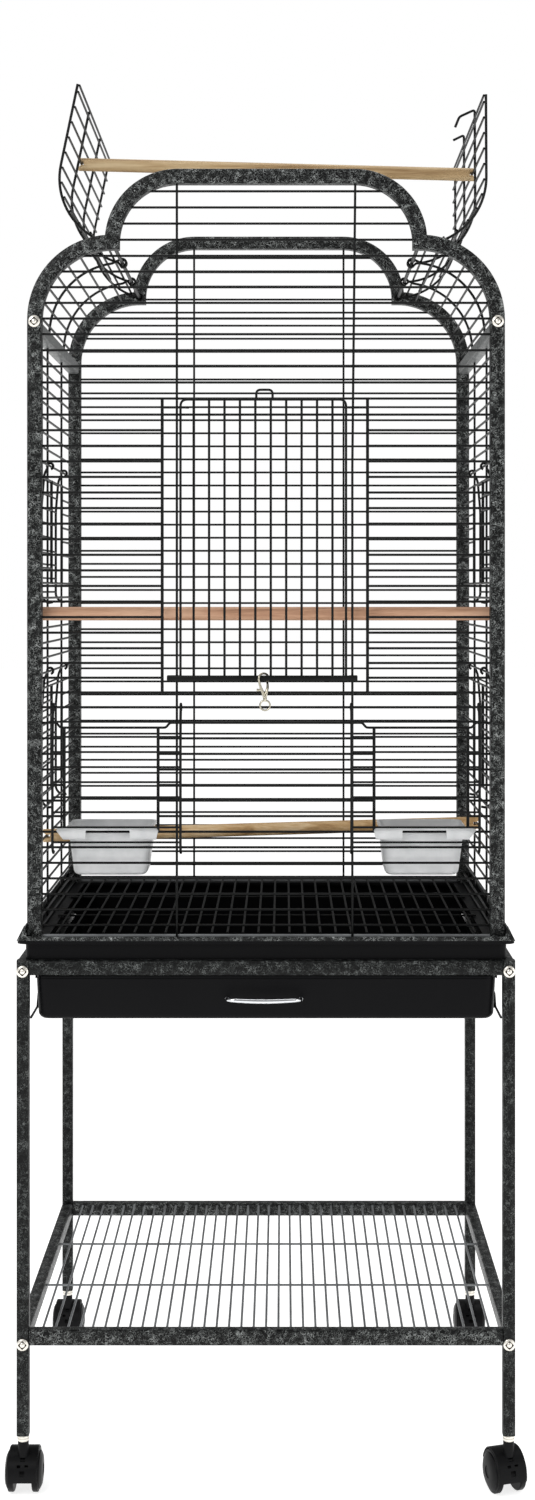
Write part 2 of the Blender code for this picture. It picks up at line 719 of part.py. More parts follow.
def cup_mesh():
    """The right cup in world coordinates, x mirrored for the left one."""
    centre = (0.161, -0.153)
    shell = bmesh.new()
    wall = 0.002
    top, bottom = 0.680, 0.631
    rings = [
        rounded_ring(0.036, 0.025, 0.008, bottom, centre),
        rounded_ring(0.042, 0.030, 0.008, top - 0.004, centre),
        rounded_ring(0.0445, 0.0325, 0.008, top - 0.003, centre),
        rounded_ring(0.0445, 0.0325, 0.008, top, centre),
        rounded_ring(0.042 - wall, 0.030 - wall, 0.006, top, centre),
        rounded_ring(0.036 - wall, 0.025 - wall, 0.006, bottom + wall, centre),
    ]
    loft(shell, rings)
    plate, bridge = bmesh.new(), bmesh.new()
    edge = (0.1106, 0.2156)
    notch = (0.140, 0.185)
    low, high, notch_top = 0.6675, 0.6800, 0.6768
    outline = [(edge[0] + 0.002, low), (notch[0], low), (notch[0], notch_top), (notch[1], notch_top)]
    outline += [(notch[1], low), (edge[1] - 0.0075, low), (edge[1], high - 0.003), (edge[1] - 0.003, high)]
    outline += [(edge[0] + 0.003, high)]
    outline += [(edge[0], high - 0.003)]
    outer = -FACE_Y + out(0.0055)
    extrude_outline(plate, [(x, outer, z) for x, z in outline], (0, 0.0035, 0))
    add_box(bridge, (0.1145, outer + 0.001, 0.6771), (0.2040, -0.1840, 0.6797))
    parts = [to_mesh(shell, "shell"), to_mesh(bridge, "bridge"), to_mesh(plate, "plate")]
    return fuse("feeder_cup", parts)


def build_cups():
    right = cup_mesh()
    left = mirrored(right, "left_feeder_cup")
    finish = material("smoked_plastic", (0.42, 0.43, 0.44), 0.3, 0.0, 0.8)
    make_node("right_feeder_cup", right, finish, smooth=35)
    make_node("left_feeder_cup", left, finish, smooth=35)


# Base

def build_base():
    bm = bmesh.new()
    section = [
        (-0.0215, SKIRT_TOP - 0.003), (-0.003, SKIRT_TOP - 0.003), (-0.003, SKIRT_BOTTOM), (0.0, SKIRT_BOTTOM),
        (0.0, SKIRT_TOP - 0.0045), (LIP, SKIRT_TOP - 0.003), (LIP, SKIRT_TOP), (-0.0215, SKIRT_TOP),
    ]
    rings = [rounded_ring(SKIRT_X + d, SKIRT_Y + d, 0.008 + max(d, -0.005), z) for d, z in section]
    loft(bm, rings, closed=True)
    make_node("base_skirt", to_mesh(bm, "base_skirt"), black_plastic())


def build_guard():
    """A low painted guard round the base: short upright strips front and rear, sloping strips at the sides."""
    foot, low, high = SKIRT_TOP + GAP, 0.573, 0.5815
    edge_x = SKIRT_X + LIP
    edge_y = SKIRT_Y + LIP
    half = [(0.2430, low), (0.2462, high + 0.0003), (edge_x + 0.0002, foot)]
    outline = half + [(-x, z) for x, z in reversed(half)]
    parts = []
    for y in (-edge_y, edge_y - 0.0015):
        bm = bmesh.new()
        extrude_outline(bm, [(x, y, z) for x, z in outline], (0, 0.0015, 0))
        parts.append(to_mesh(bm, "strip"))
    for side in (-1, 1):
        bm = bmesh.new()
        slope = [(edge_x, foot + 0.0001), (0.2460, high)]
        slope += [(0.2453, high - 0.0008), (edge_x - 0.0022, foot + 0.0001)]
        extrude_outline(bm, [(side * x, -edge_y + 0.0005, z) for x, z in slope], (0, 2 * edge_y - 0.001, 0))
        parts.append(to_mesh(bm, "slope"))
    make_node("seed_guard", fuse("seed_guard", parts), hammertone())


def build_grate():
    wires, cross = bmesh.new(), bmesh.new()
    low_z = SKIRT_TOP + GAP + WIRE_R
    for i in range(28):
        x = (i - 13.5) * PITCH
        bar(wires, (x, -0.182, low_z + LIFT), (x, 0.182, low_z + LIFT), WIRE_R, (0, 0, -1))
    for y in (-0.062, 0.062):
        bar(cross, (-0.2285, y, low_z), (0.2285, y, low_z), WIRE_R, (0, 0, 1))
    grate = fuse("floor_grate", [to_mesh(wires, "wires"), to_mesh(cross, "cross")])
    make_node("floor_grate", grate, wire_paint())


# Stand

def corner_names():
    ends = (("front", -1), ("rear", 1))
    hands = (("left", -1), ("right", 1))
    return [(f"{end}_{hand}", sx, sy) for end, sy in ends for hand, sx in hands]


def build_stand():
    half = LEG / 2
    for name, sx, sy in corner_names():
        low = (sx * LEG_X - half, sy * LEG_Y - half, LEG_BOTTOM)
        high = (sx * LEG_X + half, sy * LEG_Y + half, LEG_TOP)
        make_node(name + "_leg", tube_mesh(name + "_leg", low, high, 0.0012), hammertone())
    span_x, span_y = LEG_X - half - GAP, LEG_Y - half - GAP
    for level, (bottom, top) in (("top", TOP_RAIL_Z), ("shelf", SHELF_RAIL_Z)):
        for fore, sy in (("front", -1), ("rear", 1)):
            name = f"{fore}_{level}_rail"
            low = (-span_x, sy * LEG_Y - half, bottom)
            high = (span_x, sy * LEG_Y + half, top)
            make_node(name, tube_mesh(name, low, high, 0.0012), hammertone())
        for hand, sx in (("left", -1), ("right", 1)):
            name = f"{hand}_{level}_rail"
            low = (sx * LEG_X - half, -span_y, bottom)
            high = (sx * LEG_X + half, span_y, top)
            make_node(name, tube_mesh(name, low, high, 0.0012), hammertone())


def build_shelf():
    wires, cross = bmesh.new(), bmesh.new()
    top = SHELF_RAIL_Z[1] - 0.003
    half_x, half_y = LEG_X - LEG / 2 - GAP, LEG_Y - LEG / 2 - GAP
    for i in range(37):
        x = (i - 18) * SHELF_PITCH
        bar(wires, (x, -half_y, top), (x, half_y, top), WIRE_R, (0, 0, -1))
    for y in (-0.065, 0.065):
        bar(cross, (-half_x, y, top - LIFT), (half_x, y, top - LIFT), WIRE_R, (0, 0, 1))
    grid = fuse("shelf_grid", [to_mesh(wires, "wires"), to_mesh(cross, "cross")])
    make_node("shelf_grid", grid, wire_paint())


# Drawer

def build_drawer():
    bm = bmesh.new()
    middle = (DRAWER_FRONT + DRAWER_BACK) / 2
    half_y = (DRAWER_BACK - DRAWER_FRONT) / 2
    taper = 0.002
    rim = 0.0015
    half_x = DRAWER_TOP_X - rim
    rings = [
        rounded_ring(half_x - taper, half_y - rim - taper, 0.010, DRAWER_BOTTOM, (0, middle)),
        rounded_ring(half_x, half_y - rim, 0.010, DRAWER_TOP - 0.005, (0, middle)),
        rounded_ring(half_x + rim, half_y, 0.0115, DRAWER_TOP - 0.004, (0, middle)),
        rounded_ring(half_x + rim, half_y, 0.0115, DRAWER_TOP, (0, middle)),
        rounded_ring(half_x - DRAWER_WALL, half_y - rim - DRAWER_WALL, 0.0075, DRAWER_TOP, (0, middle)),
        rounded_ring(
            half_x - taper - DRAWER_WALL, half_y - rim - taper - DRAWER_WALL, 0.0075,
            DRAWER_BOTTOM + DRAWER_WALL, (0, middle),
        ),
    ]
    loft(bm, rings)
    make_node("drawer_tray", to_mesh(bm, "drawer_tray"), black_plastic())


def build_runners():
    """L strips under the drawer's edges, fixed to the legs."""
    wall = 0.002
    outer = LEG_X - LEG / 2 - GAP
    top = DRAWER_BOTTOM - GAP
    outline = [
        (outer, top - wall), (outer, top + 0.012), (outer - wall, top + 0.012), (outer - wall, top),
        (outer - 0.020, top), (outer - 0.020, top - wall),
    ]
    for name, side in (("left_drawer_runner", -1), ("right_drawer_runner", 1)):
        bm = bmesh.new()
        extrude_outline(bm, [(side * x, -0.200, z) for x, z in outline], (0, 0.400, 0))
        make_node(name, to_mesh(bm, name), hammertone())


def build_drawer_handle():
    """A slender bent chrome bow that sags a little in the middle."""
    bow, feet = bmesh.new(), bmesh.new()
    front = DRAWER_FRONT - 0.0001
    z, middle = 0.505, -0.002
    reach, half = 0.022, 0.039
    bend = 0.010
    sag = 0.0015
    left = [(middle - half, front - GAP)] + arc((middle - half + bend, front - reach + bend), bend, 180, 270, 3)
    right = arc((middle + half - bend, front - reach + bend), bend, 270, 360, 3) + [(middle + half, front - GAP)]
    path = [(x, y, z) for x, y in left] + [(middle, front - reach, z - sag)] + [(x, y, z) for x, y in right]
    sweep(bow, path, 0.0025, (0, 0, 1), sides=6)
    for side in (-1, 1):
        x = middle + side * half
        start, end = (x, front - GAP, z), (x, front - GAP - 0.003, z)
        bar(feet, start, end, 0.0036, (0, 0, 1), 8)
    mesh = fuse("drawer_handle", [to_mesh(bow, "bow"), to_mesh(feet, "feet")])
    make_node("drawer_handle", mesh, chrome(), smooth=40)


# Casters

def lathe_x(bm, profile, sides):
    """Turn a closed profile of (x, radius) about the x axis."""
    rings = []
    for x, radius in profile:
        ring = []
        for k in range(sides):
            angle = 2 * math.pi * (k + 0.5) / sides
            ring.append((x, -radius * math.sin(angle), -radius * math.cos(angle)))
        rings.append(ring)
    loft(bm, rings)


def wheel_mesh(name):
    """A domed wheel with a blind bore, axis on x, outer face towards +x."""
    bm = bmesh.new()
    bore, depth = 0.0024, 0.0158
    profile = [(depth, bore), (0.0093, bore), (0.0093, WHEEL_R)]
    profile += [(0.0150, WHEEL_R), (0.0184, 0.0165), (0.0192, 0.0070)]
    lathe_x(bm, profile, WHEEL_SIDES)
    return to_mesh(bm, name)


def hood_mesh():
    """Hood, swivel stem and axle of one caster, origin on the swivel axis at floor level, wheels behind it."""
    core, shell, stem, axle = bmesh.new(), bmesh.new(), bmesh.new(), bmesh.new()
    half_core, half_hood = 0.009, 0.015
    centre = (TRAIL, AXLE_Z)
    small, inner, outer = 0.0200, WHEEL_R + 0.0012, HOOD_TOP - AXLE_Z
    foot = math.degrees(math.asin((AXLE_Z - 0.009) / small))
    side = arc(centre, small, -foot, 16, 2) + arc(centre, outer - 0.001, 20, 196, 7)
    side += arc(centre, small, 200, 180 + foot, 1)
    extrude_outline(core, [(-half_core, y, z) for y, z in side], (2 * half_core, 0, 0))
    band = arc(centre, outer, 15, 200, 9) + arc(centre, inner, 200, 15, 9)
    extrude_outline(shell, [(-half_hood, y, z) for y, z in band], (2 * half_hood, 0, 0))
    bar(stem, (0, 0, HOOD_TOP - 0.010), (0, 0, LEG_BOTTOM - GAP), 0.0058, (0, 1, 0), 12)
    bar(axle, (-0.0153, TRAIL, AXLE_Z), (0.0153, TRAIL, AXLE_Z), 0.0020, (0, 0, 1), 8)
    return fuse("caster_hood", [to_mesh(part, "piece") for part in (core, shell, stem, axle)])


def build_casters():
    hood = hood_mesh()
    right = wheel_mesh("right_wheel")
    left = mirrored(right, "left_wheel")
    for name, sx, sy in corner_names():
        turn = CASTER_TURN.get(name, 0.0)
        pivot = at((sx * LEG_X, sy * LEG_Y, 0), turn)
        make_node(f"{name}_caster_hood", hood, black_plastic(), pivot, smooth=30)
        centre = pivot @ Matrix.Translation((0, TRAIL, AXLE_Z))
        make_node(f"{name}_caster_wheel_r", right, black_plastic(), centre, smooth=30)
        make_node(f"{name}_caster_wheel_l", left, black_plastic(), centre, smooth=30)


def build_all():
    clear_scene()
    build_casters()
    build_stand()
    build_shelf()
    build_runners()
    build_drawer()
    build_drawer_handle()
    build_base()
    build_guard()
    build_grate()
    build_arch("front_arch_frame", -FACE_Y)
    build_arch("rear_arch_frame", FACE_Y)
    build_panels()
    build_side_rails()
    build_hinge_rods()
    build_shoulders()
    build_flaps()
    build_main_door()
    build_snap_clip()
    build_small_doors()
    build_cups()
    build_perches()


build_all()
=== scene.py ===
import math

import bmesh
import bpy
from bmesh.types import BMEdge, BMFace, BMVert
from mathutils import Matrix, Vector


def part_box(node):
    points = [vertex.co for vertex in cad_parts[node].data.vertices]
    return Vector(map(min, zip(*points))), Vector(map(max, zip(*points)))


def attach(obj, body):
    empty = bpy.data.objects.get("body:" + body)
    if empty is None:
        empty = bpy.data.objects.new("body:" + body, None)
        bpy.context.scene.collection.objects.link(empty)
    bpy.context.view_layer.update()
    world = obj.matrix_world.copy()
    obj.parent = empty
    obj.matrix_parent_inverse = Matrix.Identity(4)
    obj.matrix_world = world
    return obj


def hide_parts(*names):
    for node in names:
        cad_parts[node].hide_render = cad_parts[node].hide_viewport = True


# A rolling wire cage on a stand. Metres, Z up, the front faces -Y and the floor is Z = 0.

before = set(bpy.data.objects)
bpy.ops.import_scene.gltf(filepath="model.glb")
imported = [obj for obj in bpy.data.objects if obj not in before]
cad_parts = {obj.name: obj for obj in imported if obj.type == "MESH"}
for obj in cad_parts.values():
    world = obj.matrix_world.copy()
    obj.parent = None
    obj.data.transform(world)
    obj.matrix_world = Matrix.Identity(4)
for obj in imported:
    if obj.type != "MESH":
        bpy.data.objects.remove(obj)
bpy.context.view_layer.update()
scene = bpy.context.scene
mm = 0.001
hands = (("left", -1), ("right", 1))
shift = Matrix.Translation


# helpers

def spun(degrees, axis):
    return Matrix.Rotation(math.radians(degrees), 4, axis)


def srgb(code):
    parts = [int(code[i:i + 2], 16) / 255 for i in (1, 3, 5)]
    return (*[p / 12.92 if p <= 0.04045 else ((p + 0.055) / 1.055) ** 2.4 for p in parts], 1.0)


def inMm(sizes):
    # sizes or points written in millimetres, turned to metres
    if isinstance(sizes, dict):
        return {key: inMm(size) for key, size in sizes.items()}
    if isinstance(sizes, (list, tuple)):
        return [inMm(size) for size in sizes]
    return sizes * mm


def feed(tree, node, links):
    for key, output in links.items():
        tree.links.new(output, node.inputs[key])


def addNode(tree, kind, values, links, **settings):
    # plain sockets, sockets fed by an output, and the node's own options; its first output comes back
    node = tree.nodes.new("ShaderNode" + kind)
    for key, value in settings.items():
        setattr(node, key, value)
    for key, value in values.items():
        node.inputs[key].default_value = value
    feed(tree, node, links)
    return node.outputs[0]


def startMaterial(name, sockets):
    material = bpy.data.materials.new(name)
    material.use_nodes = True
    tree = material.node_tree
    for key, value in sockets.items():
        tree.nodes["Principled BSDF"].inputs[key].default_value = value
    return material, tree, {"Vector": tree.nodes.new("ShaderNodeTexCoord").outputs["Object"]}


def endMaterial(material, links):
    tree = material.node_tree
    feed(tree, tree.nodes["Principled BSDF"], links)
    return material


def rampStops(output, stops):
    ramp = output.node.color_ramp
    while len(ramp.elements) < len(stops):
        ramp.elements.new(0.5)
    for element, (place, code) in zip(ramp.elements, stops):
        element.position = place
        element.color = srgb(code)


def linkObject(name, data):
    thing = bpy.data.objects.new(name, data)
    scene.collection.objects.link(thing)
    return thing


def smoothPiece(name, mesh, material, body, nodes=(), angle=50):
    mesh.name = name
    mesh.materials.clear()
    mesh.materials.append(material)
    mesh.shade_smooth()
    mesh.set_sharp_from_angle(angle=math.radians(angle))
    piece = linkObject(name, mesh)
    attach(piece, body)
    if nodes:
        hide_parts(*nodes)


def pieceName(node):
    first, *others = node.split("_")
    return first + "".join(word.title() for word in others)


def plainMesh(bm):
    mesh = bpy.data.meshes.new("shape")
    bm.to_mesh(mesh)
    bm.free()
    return mesh


def placed(mesh, place):
    mesh.transform(place)
    if place.determinant() < 0:
        mesh.flip_normals()
    return mesh


def toMesh(bm, place=Matrix(), merge=0.002 * mm):
    bmesh.ops.remove_doubles(bm, verts=bm.verts, dist=merge)
    bmesh.ops.recalc_face_normals(bm, faces=bm.faces)
    return placed(plainMesh(bm), place)


def joinMeshes(meshes):
    bm = bmesh.new()
    for mesh in meshes:
        bm.from_mesh(mesh)
    return plainMesh(bm)


def finalMesh(thing):
    # takes the mesh that an object's modifiers or bevel make, and removes the object
    graph = bpy.context.evaluated_depsgraph_get()
    mesh = bpy.data.meshes.new_from_object(thing.evaluated_get(graph))
    bpy.data.objects.remove(thing, do_unlink=True)
    return mesh


def cutMesh(mesh, cutters):
    # the cutters are taken out of the mesh
    base, helpers = linkObject("base", mesh), [linkObject("cutter", cutter) for cutter in cutters]
    for helper in helpers:
        modifier = base.modifiers.new("cut", "BOOLEAN")
        modifier.operation = "DIFFERENCE"
        modifier.solver = "EXACT"
        modifier.object = helper
    result = finalMesh(base)
    for helper in helpers:
        bpy.data.objects.remove(helper, do_unlink=True)
    return result


def wireMesh(runs, roundness=2, place=Matrix()):
    # every run is (points, radius), where the radius may vary along it
    curve = bpy.data.curves.new("wire", "CURVE")
    curve.dimensions = "3D"
    curve.bevel_depth = 1.0
    curve.bevel_resolution = roundness
    curve.use_fill_caps = True
    for points, radius in runs:
        spline = curve.splines.new("POLY")
        spline.points.add(len(points) - 1)
        for point, spot in zip(spline.points, points):
            point.radius = radius(spot) if callable(radius) else radius
            point.co = (*(place @ Vector(spot)), 1.0)
    bm = bmesh.new()
    bm.from_mesh(finalMesh(linkObject("wire", curve)))
    return toMesh(bm, merge=0.001 * mm)


def arc(centre, radius, start, end, steps):
    angles = [math.radians(start + (end - start) * i / steps) for i in range(steps + 1)]
    return [(centre[0] + radius * math.cos(a), centre[1] + radius * math.sin(a)) for a in angles]


def bent(points, radius, steps=5):
    # rounds the corners of a wire's path
    spots = [Vector(p) for p in points]
    path = [spots[0]]
    for before, corner, after in zip(spots, spots[1:], spots[2:]):
        start, end = [corner + (other - corner).normalized() * min(radius, (other - corner).length * 0.48)
                      for other in (before, after)]
        for i in range(steps + 1):
            t = i / steps
            path.append(start * (1 - t) ** 2 + corner * 2 * t * (1 - t) + end * t ** 2)
    return path + [spots[-1]]


def only(kind, geom):
    return [g for g in geom if isinstance(g, kind)]


def once(items):
    # every item once, in the same order each run
    return list(dict.fromkeys(items))


def extrudeFaces(bm, faces, move):
    # their edges go along, so that no face at the end of a run is left inside
    edges = once(e for f in faces for e in f.edges)
    made = bmesh.ops.extrude_face_region(bm, geom=faces + edges)["geom"]
    bmesh.ops.translate(bm, verts=only(BMVert, made), vec=move)
    return only(BMFace, made)


def easeEdges(bm, geom, ease, segments, affect="EDGES"):
    if ease:
        bmesh.ops.bevel(bm, geom=geom, offset=ease, segments=segments, affect=affect, profile=0.5,
                        material=-1)


def block(bm, low, high, ease=0.0, segments=3, along=None):
    # a box between two corners with its edges eased, or only those that run along one axis
    low, high = [Vector([choose(pair) for pair in zip(low, high)]) for choose in (min, max)]
    place = shift((low + high) / 2) @ Matrix.Diagonal((*(high - low), 1.0))
    made = bmesh.ops.create_cube(bm, size=1.0, matrix=place)
    edges = once(e for v in made["verts"] for e in v.link_edges)
    if along is not None:
        edges = [e for e in edges if abs((e.verts[0].co - e.verts[1].co)[along]) > ease]
    easeEdges(bm, edges, ease, segments)
    return bm


def flatShape(outline, depth, ease=0.0, segments=2):
    # a flat outline of points, thickened by depth
    bm = bmesh.new()
    face = bm.faces.new([bm.verts.new(p) for p in outline])
    extrudeFaces(bm, [face], Vector(depth))
    easeEdges(bm, bm.edges[:], ease, segments)
    return bm


def turned(profile, steps, place=Matrix(), axis=(0, 0, 1)):
    # a profile of (x, z) turned about an axis
    bm = bmesh.new()
    spots = [bm.verts.new((x, 0, z)) for x, z in profile]
    edges = [bm.edges.new(pair) for pair in zip(spots, spots[1:])]
    bmesh.ops.spin(bm, geom=spots + edges, cent=(0, 0, 0), axis=axis, angle=math.radians(360), steps=steps,
                   use_merge=True)
    return toMesh(bm, place, 0.005 * mm)


# materials

def makeHammertone(name, ground, vein, sparkle):
    # hammertone powder coat on steel tube, sprayed and baked: a black ground broken by short silver worms
    # about 1 mm wide and 3 mm apart, drawn at 1.3 and 3.6 mm so that they show
    material, tree, surface = startMaterial(name, {"Specular IOR Level": 0.16})
    worms = addNode(tree, "TexNoise", {"Scale": 1 / (3.6 * mm), "Detail": 1.5, "Distortion": 1.6}, surface)
    centred = addNode(tree, "Math", {1: 0.5}, {0: worms}, operation="SUBTRACT")
    ridge = addNode(tree, "Math", {}, {0: centred}, operation="ABSOLUTE")
    shade = addNode(tree, "TexNoise", {"Scale": 1 / (7 * mm), "Detail": 1.0}, surface)
    spread = addNode(tree, "Math", {1: 0.12, 2: -0.045}, {0: shade}, operation="MULTIPLY_ADD")
    height = addNode(tree, "Math", {}, {0: ridge, 1: spread}, operation="ADD")
    colour = addNode(tree, "ValToRGB", {}, {"Fac": height})
    rampStops(colour, [(0.0, sparkle), (0.022, vein), (0.058, ground), (1.0, ground)])
    shine = addNode(tree, "MapRange", {"From Max": 0.1, "To Min": 0.3, "To Max": 0.42}, {"Value": height})
    bump = addNode(tree, "Bump", {"Strength": 0.35, "Distance": 0.25 * mm}, {"Height": height}, invert=True)
    return endMaterial(material, {"Base Color": colour, "Roughness": shine, "Normal": bump})


def makeCoat(name, base, worn, roughness):
    # smooth powder coat on wire: even and satin, with the faint orange peel of baked paint every 0.9 mm
    material, tree, surface = startMaterial(name, {"Roughness": roughness, "Specular IOR Level": 0.16})
    peel = addNode(tree, "TexNoise", {"Scale": 1 / (0.9 * mm), "Detail": 3.0, "Roughness": 0.6}, surface)
    patches = addNode(tree, "TexNoise", {"Scale": 1 / (40 * mm), "Detail": 2.0}, surface)
    colour = addNode(tree, "ValToRGB", {}, {"Fac": patches})
    rampStops(colour, [(0.35, base), (0.7, worn)])
    bump = addNode(tree, "Bump", {"Strength": 0.25, "Distance": 0.08 * mm}, {"Height": peel})
    return endMaterial(material, {"Base Color": colour, "Normal": bump})


def makeMoulded(name, base, light, grain, roughness):
    # injection-moulded plastic with a spark-eroded grain: dark, with a broad soft sheen
    material, tree, surface = startMaterial(name, {"IOR": 1.53, "Specular IOR Level": 0.07})
    pits = addNode(tree, "TexVoronoi", {"Scale": 1 / grain, "Smoothness": 0.6}, surface, feature="SMOOTH_F1")
    drift = addNode(tree, "TexNoise", {"Scale": 1 / (90 * mm), "Detail": 3.0}, surface)
    colour = addNode(tree, "ValToRGB", {}, {"Fac": drift})
    rampStops(colour, [(0.3, base), (0.75, light)])
    shine = addNode(tree, "MapRange", {"From Min": 0.3, "From Max": 0.7, "To Min": roughness - 0.05,
                                       "To Max": roughness + 0.07}, {"Value": drift})
    bump = addNode(tree, "Bump", {"Strength": 0.18, "Distance": 0.06 * mm}, {"Height": pits})
    return endMaterial(material, {"Base Color": colour, "Roughness": shine, "Normal": bump})


def makePlated(name, base, roughness, smear):
    # electroplated metal: bright, with faint wipe marks that soften the reflections
    material, tree, surface = startMaterial(name, {"Metallic": 1.0, "Base Color": srgb(base)})
    wipes = addNode(tree, "TexNoise", {"Scale": 1 / (6 * mm), "Detail": 4.0, "Distortion": 0.6}, surface)
    shine = addNode(tree, "MapRange", {"From Min": 0.3, "From Max": 0.7, "To Min": roughness,
                                       "To Max": roughness + smear}, {"Value": wipes})
    return endMaterial(material, {"Roughness": shine})


def makeDowel(name, light, middle, dark):
    # dowel, sawn round and sanded but not varnished: pale, with long fine grain lines and small dark pores
    material, tree, surface = startMaterial(name, {"Roughness": 0.62})
    along = {"Vector": addNode(tree, "Mapping", {"Scale": (0.05, 1.0, 1.0)}, surface)}
    lines = addNode(tree, "TexNoise", {"Scale": 1 / (1.6 * mm), "Detail": 4.0, "Roughness": 0.6,
                                       "Distortion": 0.3}, along)
    bands = addNode(tree, "TexNoise", {"Scale": 1 / (9 * mm), "Detail": 2.0, "Distortion": 0.5}, along)
    mixed = addNode(tree, "Math", {1: 0.45}, {0: lines, 2: bands}, operation="MULTIPLY_ADD")
    colour = addNode(tree, "ValToRGB", {}, {"Fac": mixed})
    rampStops(colour, [(0.5, dark), (0.68, middle), (0.9, light)])
    bump = addNode(tree, "Bump", {"Strength": 0.3, "Distance": 0.08 * mm}, {"Height": lines})
    return endMaterial(material, {"Base Color": colour, "Normal": bump})


def makeCupPlastic():
    # moulded polypropylene, smoky and translucent: light comes through the walls and thick edges look whiter
    material, tree, surface = startMaterial(
        "smokyPolypropylene", {"Roughness": 0.3, "IOR": 1.49, "Transmission Weight": 0.32})
    cloud = addNode(tree, "TexNoise", {"Scale": 1 / (14 * mm), "Detail": 3.0}, surface)
    colour = addNode(tree, "ValToRGB", {}, {"Fac": cloud})
    rampStops(colour, [(0.3, "#dfe1e2"), (0.7, "#eff0f1")])
    return endMaterial(material, {"Base Color": colour})


hammerBlack = makeHammertone("hammertonePowderCoat", "#0a0b0b", "#6e7170", "#979a99")
hammerStand = makeHammertone("fineHammertonePowderCoat", "#080909", "#474a49", "#666968")
hammerGrey = makeHammertone("greyHammertonePowderCoat", "#5f6161", "#8d8f8f", "#9fa1a1")
wireCoat = makeCoat("satinPowderCoatOnWire", "#0a0b0b", "#121313", 0.36)
grateCoat = makeCoat("mattPowderCoatOnWire", "#0b0c0c", "#121313", 0.6)
# light zinc grey: the shelf wires' own colour, and a painted highlight on the sills
shelfCoatAndSillHighlight = makeCoat("zincGreyPowderCoatOnWire", "#6e7072", "#8d9092", 0.34)
# dark brown coat for a thin sheet in the bolts' recesses: painted shade where the recess is in shade
recessShadeCoat = makeCoat("powderCoatLeftInRecess", "#120c08", "#1d140d", 0.6)
absBlack = makeMoulded("mouldedAbs", "#08080a", "#0e0e0f", 0.7 * mm, 0.42)
nylonBlack = makeMoulded("mouldedNylon", "#101011", "#19191a", 0.6 * mm, 0.38)
chromePlate = makePlated("chromePlatedSteel", "#dcdee1", 0.07, 0.08)
zincPlate = makePlated("zincPlatedSteel", "#efebe2", 0.3, 0.12)
nickelPlate = makePlated("nickelPlatedCasting", "#bdb7a6", 0.16, 0.1)
paleDowel = makeDowel("birchDowel", "#dbbf95", "#c39f6f", "#9c7748")
agedDowel = makeDowel("agedBirchDowel", "#c3ac86", "#ab8f66", "#876a43")
pinkDowel = makeDowel("beechDowel", "#d6ac8e", "#bd9072", "#966e52")
cupPlastic = makeCupPlastic()
print("materials made")


def wirePiece(name, runs, nodes, place=Matrix(), body="cage", coat=wireCoat, roundness=2):
    smoothPiece(name, wireMesh(runs, roundness, place), coat, body, nodes, 60)


# places read from the frame

frontLow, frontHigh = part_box("front_arch_frame")
tube = frontHigh.y - frontLow.y
faceY = -(frontLow.y + frontHigh.y) / 2
postX = frontHigh.x - tube / 2
legLow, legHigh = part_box("front_right_leg")
legSize = legHigh.x - legLow.x
legX = (legLow.x + legHigh.x) / 2
legY = -(legLow.y + legHigh.y) / 2
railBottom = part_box("right_shoulder_rail")[0].z

arch = {"foot": frontLow.z, "steps": 24,
        **inMm({"postTop": 1201, "shoulderRadius": 79.5, "crownRadius": 67.5, "corner": 2.2})}
notchX = postX - arch["shoulderRadius"]
notchZ = arch["postTop"] + arch["shoulderRadius"]
crownX = notchX - arch["crownRadius"]
crownZ = notchZ + arch["crownRadius"]


# arched frames

def tubeFace(bm, centre):
    # the tube's section, lying flat, with rounded corners
    made = bmesh.ops.create_grid(bm, x_segments=1, y_segments=1, size=tube / 2, matrix=shift(centre))
    easeEdges(bm, made["verts"], arch["corner"], 3, "VERTICES")
    return bm.faces[:]


def quarterTurn(bm, faces, centre):
    edges = once(e for f in faces for e in f.edges)
    spots = once(v for f in faces for v in f.verts)
    made = bmesh.ops.spin(bm, geom=faces + edges + spots, cent=centre, axis=(0, -1, 0),
                          angle=math.radians(90), steps=arch["steps"])
    return only(BMFace, made["geom_last"])


def archMesh(y):
    # post and shoulder, then the crown, each cut at one mitre, joined and mirrored
    shell, foot, top, mitre = bmesh.new(), arch["foot"], arch["postTop"], Vector((-1, 0, 1)).normalized()
    for start, rise, centre, reach in (((postX, y, foot), top - foot, (notchX, y, top), tube),
                                       ((notchX, y, notchZ - tube), tube, (crownX, y, notchZ), crownX)):
        bm, lower = bmesh.new(), reach == tube
        end = extrudeFaces(bm, tubeFace(bm, start), (0, 0, rise))
        end = extrudeFaces(bm, quarterTurn(bm, end, centre), (-reach, 0, 0))
        if not lower:
            bmesh.ops.delete(bm, geom=end, context="FACES_ONLY")
        bmesh.ops.bisect_plane(bm, geom=bm.verts[:] + bm.edges[:] + bm.faces[:], plane_co=(notchX, y, notchZ),
                               plane_no=mitre, clear_outer=lower, clear_inner=not lower)
        shell.from_mesh(plainMesh(bm))
    seam = 0.01 * mm
    bmesh.ops.remove_doubles(shell, verts=shell.verts, dist=seam)
    bmesh.ops.mirror(shell, geom=shell.verts[:] + shell.edges[:] + shell.faces[:], axis="X", merge_dist=seam)
    return toMesh(shell)


for end, y in (("front", -faceY), ("rear", faceY)):
    smoothPiece(end + "Arch", archMesh(y), hammerBlack, "cage", [end + "_arch_frame"])
print("arched frames made")


# wire panels, in a frame where x runs along the panel and out points away from the cage

